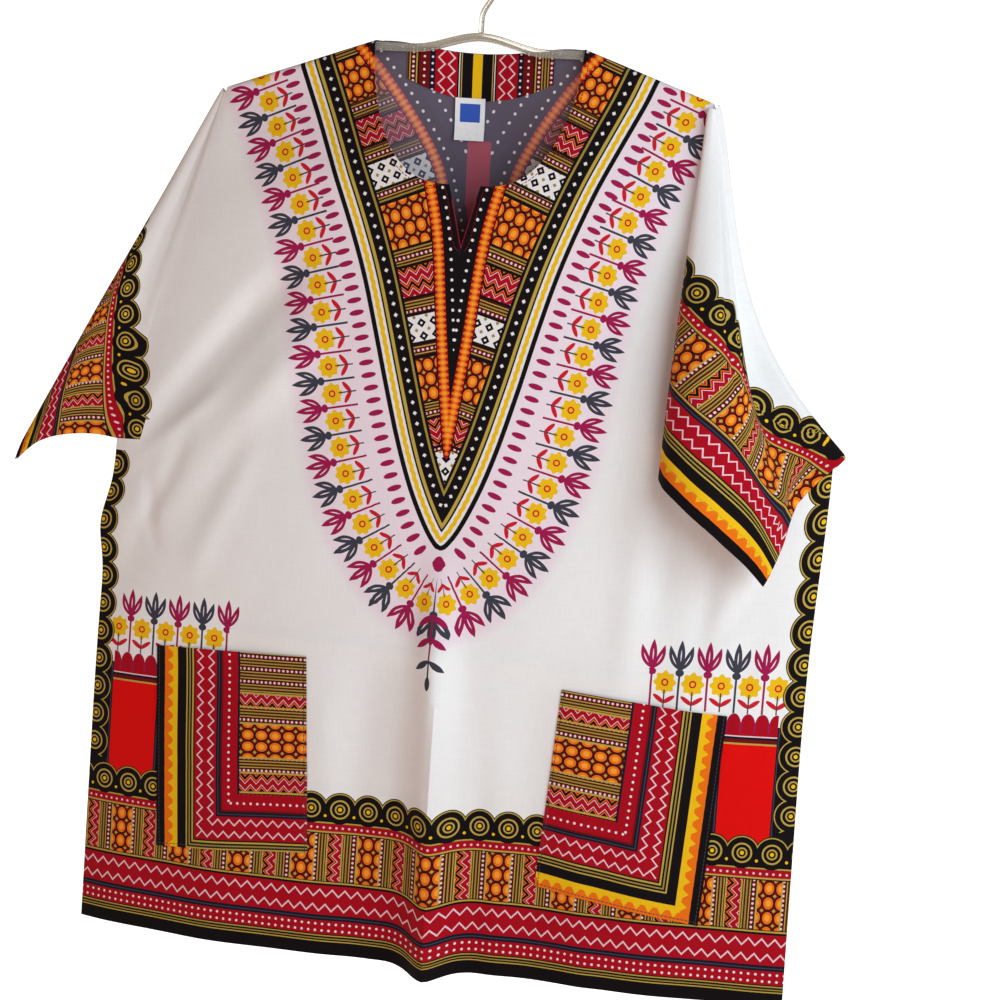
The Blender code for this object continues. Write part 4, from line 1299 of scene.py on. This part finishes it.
def patchPocket(name, side, replaced):
    sag = pocket["rightSag"] if side > 0 else (0.0, 0.0)
    corners = []
    for halves, drops in ((pocket["top"], pocket["topDrop"]), (pocket["bottom"], pocket["bottomDrop"])):
        corners.extend([(side * halves[k], drops[k] + sag[k]) for k in (0, 1)][::side])
    columns, rows = pocket["columns"], pocket["rows"]
    flat = patchGrid(corners, columns, rows)
    share = np.tile(np.linspace(0, 1, columns), rows)
    down = np.repeat(np.linspace(0, 1, rows), columns)
    width = pocket["top"][1] - pocket["top"][0]
    fromOuter = (1 - share if side > 0 else share) * width
    bandStart = pocket["rightBandStart"] if side > 0 else pocket["leftBandStart"]
    fromLow = bandStart + (1 - down) * (pocket["bottomDrop"][0] - pocket["topDrop"][0])
    mouth = (1 - smooth(down, 0.0, 0.1)) * np.sin(math.pi * share)  # the top edge stands open a little
    points = hang(flat, frontFolds, frontCreases, -1, pocket["lift"] + pocket["mouthLift"] * mouth)
    faces = gridFaces(rows, columns)
    piece = makeSheet(name, points, flat, faces, zone="pocket", extra={
        "pocket": np.stack([fromOuter, fromLow], axis=-1),
        "pocketEdge": np.stack([np.minimum(fromOuter, width - fromOuter), fromLow - bandStart], axis=-1)})
    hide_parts(replaced)


patchPocket("pocketLeftSheet", -1, "pocket_left")
patchPocket("pocketRightSheet", 1, "pocket_right")

# Facing inside the back neck and the label that hangs from it.
neckInside = {
    "facingHalf": 0.064,
    "facingDrop": 0.046,
    "facingEndDrop": 0.03,
    "facingLift": -0.0012,
    "labelCentre": -0.009,
    "labelWidth": 0.026,
    "labelTop": 0.044,
    "labelLength": 0.036,
    "labelLift": -0.0024,
    "labelCloth": 0.0004,
    "squareDown": 0.0125,
}


def backFacing():
    columns, rows = 49, 14
    half = neckInside["facingHalf"]
    flat = []
    for t in np.linspace(0, 1, rows):
        for u in np.linspace(-half, half, columns):
            top = backNeckDrop(u) + 0.0006
            low = mix(neckInside["facingDrop"], neckInside["facingEndDrop"], (abs(u) / half) ** 2)
            flat.append((u, float(mix(top, low, t))))
    flat = np.array(flat)
    faces = gridFaces(rows, columns)
    points = hang(flat, backFolds, backCreases, 1, neckInside["facingLift"])
    piece = makeSheet("facingSheet", points, flat, faces, zone="facing")
    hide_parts("back_neck_facing")


def labelMaterial():
    # plain white satin with a plain blue square, no words
    material, tree, shader = newMaterial("satinLabel", {"Sheen Weight": 0.3})
    u, v = uvField(tree, "flat")
    x = abs(u - neckInside["labelCentre"])
    y = abs(v - neckInside["labelTop"] - neckInside["squareDown"])
    threads = calc("SINE", v * 16000) * 0.5 + 0.5
    patchy = timesPlus(noise(uvPlace(tree, "flat"), 260.0), 0.16, 0.9)
    colour = paint("satin", below(x, 0.0088) * below(y, 0.0078), "blue")
    feed(shader.inputs["Base Color"], paint(colour, 1.0, patchy, "MULTIPLY"))
    feed(shader.inputs["Roughness"], timesPlus(threads, 0.12, 0.38))
    feed(shader.inputs["Normal"], bumpOf(threads, 0.3, 0.0001))
    return material


def neckLabel():
    columns, rows = 14, 18
    left = neckInside["labelCentre"] - neckInside["labelWidth"] / 2
    right = left + neckInside["labelWidth"]
    top = neckInside["labelTop"]
    low = top + neckInside["labelLength"]
    flat = patchGrid([(left, top), (right, top), (left, low), (right, low)], columns, rows)
    curl = 0.001 * smooth(flat[:, 1], low - 0.012, low)
    points = hang(flat, backFolds, backCreases, 1, neckInside["labelLift"] - curl)
    faces = gridFaces(rows, columns)
    piece = makeSheet("labelSheet", points, flat, faces, zone="label", thickness=neckInside["labelCloth"])
    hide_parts("label")


zones["label"] = labelMaterial()
backFacing()
neckLabel()
print("pockets, facing and label done")

# Clear hanger: a flat-sided bar with an arch, and an open hook.
hanger = {"barRadius": 0.0035, "ribHalf": 0.0024, "webHalf": 0.0008, "ribHeight": 0.0013, "armHalf": 0.18,
          "clothGap": 0.0011, "archRise": 0.0065, "archHalf": 0.058, "hookRadius": 0.018,
          "hookWire": 0.0025}


def objectPlace(tree):
    return field(tree, tree.nodes.new("ShaderNodeTexCoord").outputs["Object"])


def clearPlastic():
    material, tree, shader = newMaterial("clearPlastic", {"IOR": 1.49, "Transmission Weight": 0.75})
    place = objectPlace(tree)
    cloudy = noise(place, 45.0, 3.0)
    scratch = noise(stretched(place, (60, 900, 900)), 1.0, 3.0, 0.6)
    feed(shader.inputs["Base Color"], paint(inkOf(232, 228, 212), cloudy, inkOf(242, 240, 230)))
    feed(shader.inputs["Roughness"], timesPlus(scratch, 0.08, 0.02))
    feed(shader.inputs["Normal"], bumpOf(scratch, 0.15, 0.0002))
    return material


def armHeight(x):
    under = (hanger["barRadius"] + hanger["clothGap"]) * math.hypot(1, cut["shoulderSlope"])
    slope = -cut["shoulderSlope"] * max(abs(x) - cut["neckHalf"], 0) - under
    arch = (under + hanger["archRise"]) * (1 - float(smooth(np.array(abs(x)), 0.0, hanger["archHalf"])))
    return cut["neckLevel"] + slope + arch


def finishPlastic(piece, replaced):
    bpy.ops.object.shade_smooth_by_angle(angle=math.radians(30))
    piece.data.materials.clear()
    piece.data.materials.append(plastic)
    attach(piece, "root")
    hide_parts(replaced)


def bar(name, route, radius, replaced):
    # a round bar through points, as one closed mesh
    bpy.ops.object.select_all(action="DESELECT")
    bpy.ops.curve.primitive_nurbs_path_add(location=(0, 0, 0))
    piece = bpy.context.object
    piece.name = name
    curve = piece.data
    curve.splines.clear()
    spline = curve.splines.new("POLY")
    spline.points.add(len(route) - 1)
    for point, place in zip(spline.points, route):
        point.co = (*place, 1)
    curve.bevel_depth = radius
    curve.bevel_resolution = 6
    curve.use_fill_caps = True
    bpy.ops.object.convert(target="MESH")
    finishPlastic(bpy.context.object, replaced)


def ribbedBar(name, route, replaced):
    # a bar with a rib along its top and its foot and a thin web between them
    top, rib, web = hanger["barRadius"], hanger["ribHalf"], hanger["webHalf"]
    step = top - hanger["ribHeight"]
    left = [(-rib, top), (-rib, step), (-web, step), (-web, -step), (-rib, -step), (-rib, -top)]
    section = left + [(-y, n) for y, n in left[::-1]]
    count = len(section)
    route = np.array(route)
    run = np.gradient(route, axis=0)
    up = np.stack([-run[:, 2], run[:, 0]], axis=-1) / np.hypot(run[:, 0], run[:, 2])[:, None]
    points = [(x + ux * n, y, z + uz * n) for (x, _, z), (ux, uz) in zip(route, up) for y, n in section]
    faces = []
    for i in range(0, (len(route) - 1) * count, count):
        for j in range(count):
            a, b = i + j, i + (j + 1) % count
            faces.append((a, b, b + count, a + count))
    last = (len(route) - 1) * count
    for j in range(5):
        ends = (j, j + 1, 10 - j, 11 - j)
        faces += [ends[::-1], tuple(last + k for k in ends)]
    piece = newPiece(name, points, faces)
    softEdge = piece.modifiers.new("SoftEdge", "BEVEL")
    softEdge.width = 0.0003
    softEdge.segments = 2
    bpy.ops.object.modifier_apply(modifier="SoftEdge")
    finishPlastic(piece, replaced)


plastic = clearPlastic()
reach = np.linspace(-hanger["armHalf"], hanger["armHalf"], 97)
ribbedBar("hangerArms", [(x, 0.0, armHeight(x)) for x in reach], "hanger_arms")
bend = hanger["hookRadius"] + hanger["hookWire"]
hookRoute = [(bend * math.cos(a), 0.0, bend * math.sin(a) - hanger["hookRadius"])
             for a in np.radians(np.linspace(200, -55, 52))]
foot = armHeight(0.0) + hanger["barRadius"] + 0.0003
lastX, _, lastZ = hookRoute[-1]
for t in np.linspace(0.1, 0.9, 9):
    hookRoute.append((lastX * (1 - t * t * (3 - 2 * t)), 0.0, mix(lastZ, foot + 0.012, t)))
hookRoute += [(0.0, 0.0, foot + 0.01), (0.0, 0.0, foot)]
bar("hangerHook", hookRoute, hanger["hookWire"], "hanger_hook")
print("hanger done")

# Pale room, soft light and the camera at the photograph's angle.
studio = {"floorLevel": -1.35, "floorSize": 30.0, "worldLight": 0.26, "backdropLight": 1.25,
          "floorSeen": 1.0, "floorGlow": 0.56, "warmRoom": (1.0, 0.79, 0.68, 1)}


def warmAside(tree, bright, dim):
    # white where the camera looks, and the room's dimmer warm light for all that falls on the cloth
    seen = field(tree, tree.nodes.new("ShaderNodeLightPath").outputs["Is Camera Ray"])
    return paint(studio["warmRoom"], seen, (1, 1, 1, 1)), timesPlus(seen, bright - dim, dim)


def paleFloor():
    bpy.ops.object.select_all(action="DESELECT")
    bpy.ops.mesh.primitive_plane_add(size=studio["floorSize"], location=(0, 0, studio["floorLevel"]))
    floor = bpy.context.object
    floor.name = "floor"
    bpy.ops.object.transform_apply(location=True)
    material, tree, shader = newMaterial("paleFloor", {"Roughness": 0.7})
    grain = noise(objectPlace(tree), 3.0, 3.0)
    feed(shader.inputs["Base Color"], paint((0.9, 0.9, 0.9, 1), grain, (0.94, 0.94, 0.94, 1)))
    glow, strength = warmAside(tree, studio["floorSeen"], studio["floorGlow"])
    feed(shader.inputs["Emission Color"], glow)
    feed(shader.inputs["Emission Strength"], strength)
    floor.data.materials.append(material)


def softLight():
    world = bpy.data.worlds.new("paleRoom")
    bpy.context.scene.world = world
    world.use_nodes = True
    background = world.node_tree.nodes["Background"]
    glow, strength = warmAside(world.node_tree, studio["backdropLight"], studio["worldLight"])
    feed(background.inputs["Color"], glow)
    feed(background.inputs["Strength"], strength)
    for name, kind, place, aim, size, power, colour in (
            ("keyLight", "AREA", (1.3, -0.95, 0.1), (0, 0, -0.45), 0.9, 15, (0.7, 0.91, 1.0)),
            ("windowLight", "SPOT", (0.95, -1.6, 0.0), (0.16, 0, -0.42), 33, 39, (0.7, 0.9, 1.0)),
            ("backLight", "AREA", (0.4, 2.4, 0.8), (0, 0, -0.45), 2.0, 22, (1.0, 1.0, 1.0))):
        bpy.ops.object.light_add(type=kind, location=place)
        lamp = bpy.context.object
        lamp.name = name
        lamp.data.energy = power
        lamp.data.color = colour
        if kind == "AREA":
            lamp.data.size = size
        else:
            lamp.data.spot_size = math.radians(size)
            lamp.data.spot_blend = 1.0
            lamp.data.shadow_soft_size = 0.35
        lamp.rotation_euler = (Vector(aim) - Vector(place)).to_track_quat("-Z", "Y").to_euler()


# The camera stands 2 m away, a little to the right and above, and leans as the photograph does.
lens = {"azimuth": 11.0, "elevation": 5.4, "roll": 3.8, "distance": 2.0, "focal": 84.7,
        "target": (0.049, -0.03, -0.4684)}


def placeCamera():
    a, e, r = (math.radians(lens[k]) for k in ("azimuth", "elevation", "roll"))
    back = Vector((math.sin(a) * math.cos(e), -math.cos(a) * math.cos(e), math.sin(e)))
    right = (-back).cross(Vector((0, 0, 1))).normalized()
    up = right.cross(-back)
    rightTurned = math.cos(r) * right + math.sin(r) * up
    upTurned = -math.sin(r) * right + math.cos(r) * up
    place = Vector(lens["target"]) + back * lens["distance"]
    bpy.ops.object.camera_add(location=place)
    camera = bpy.context.object
    turned = Matrix((rightTurned, upTurned, back)).transposed().to_4x4()
    camera.matrix_world = Matrix.Translation(place) @ turned
    camera.data.lens = lens["focal"]
    camera.data.sensor_width = 36.0
    camera.data.clip_end = 40
    bpy.context.scene.camera = camera


paleFloor()
softLight()
placeCamera()
bpy.context.scene.view_settings.view_transform = "Standard"
print("studio done")
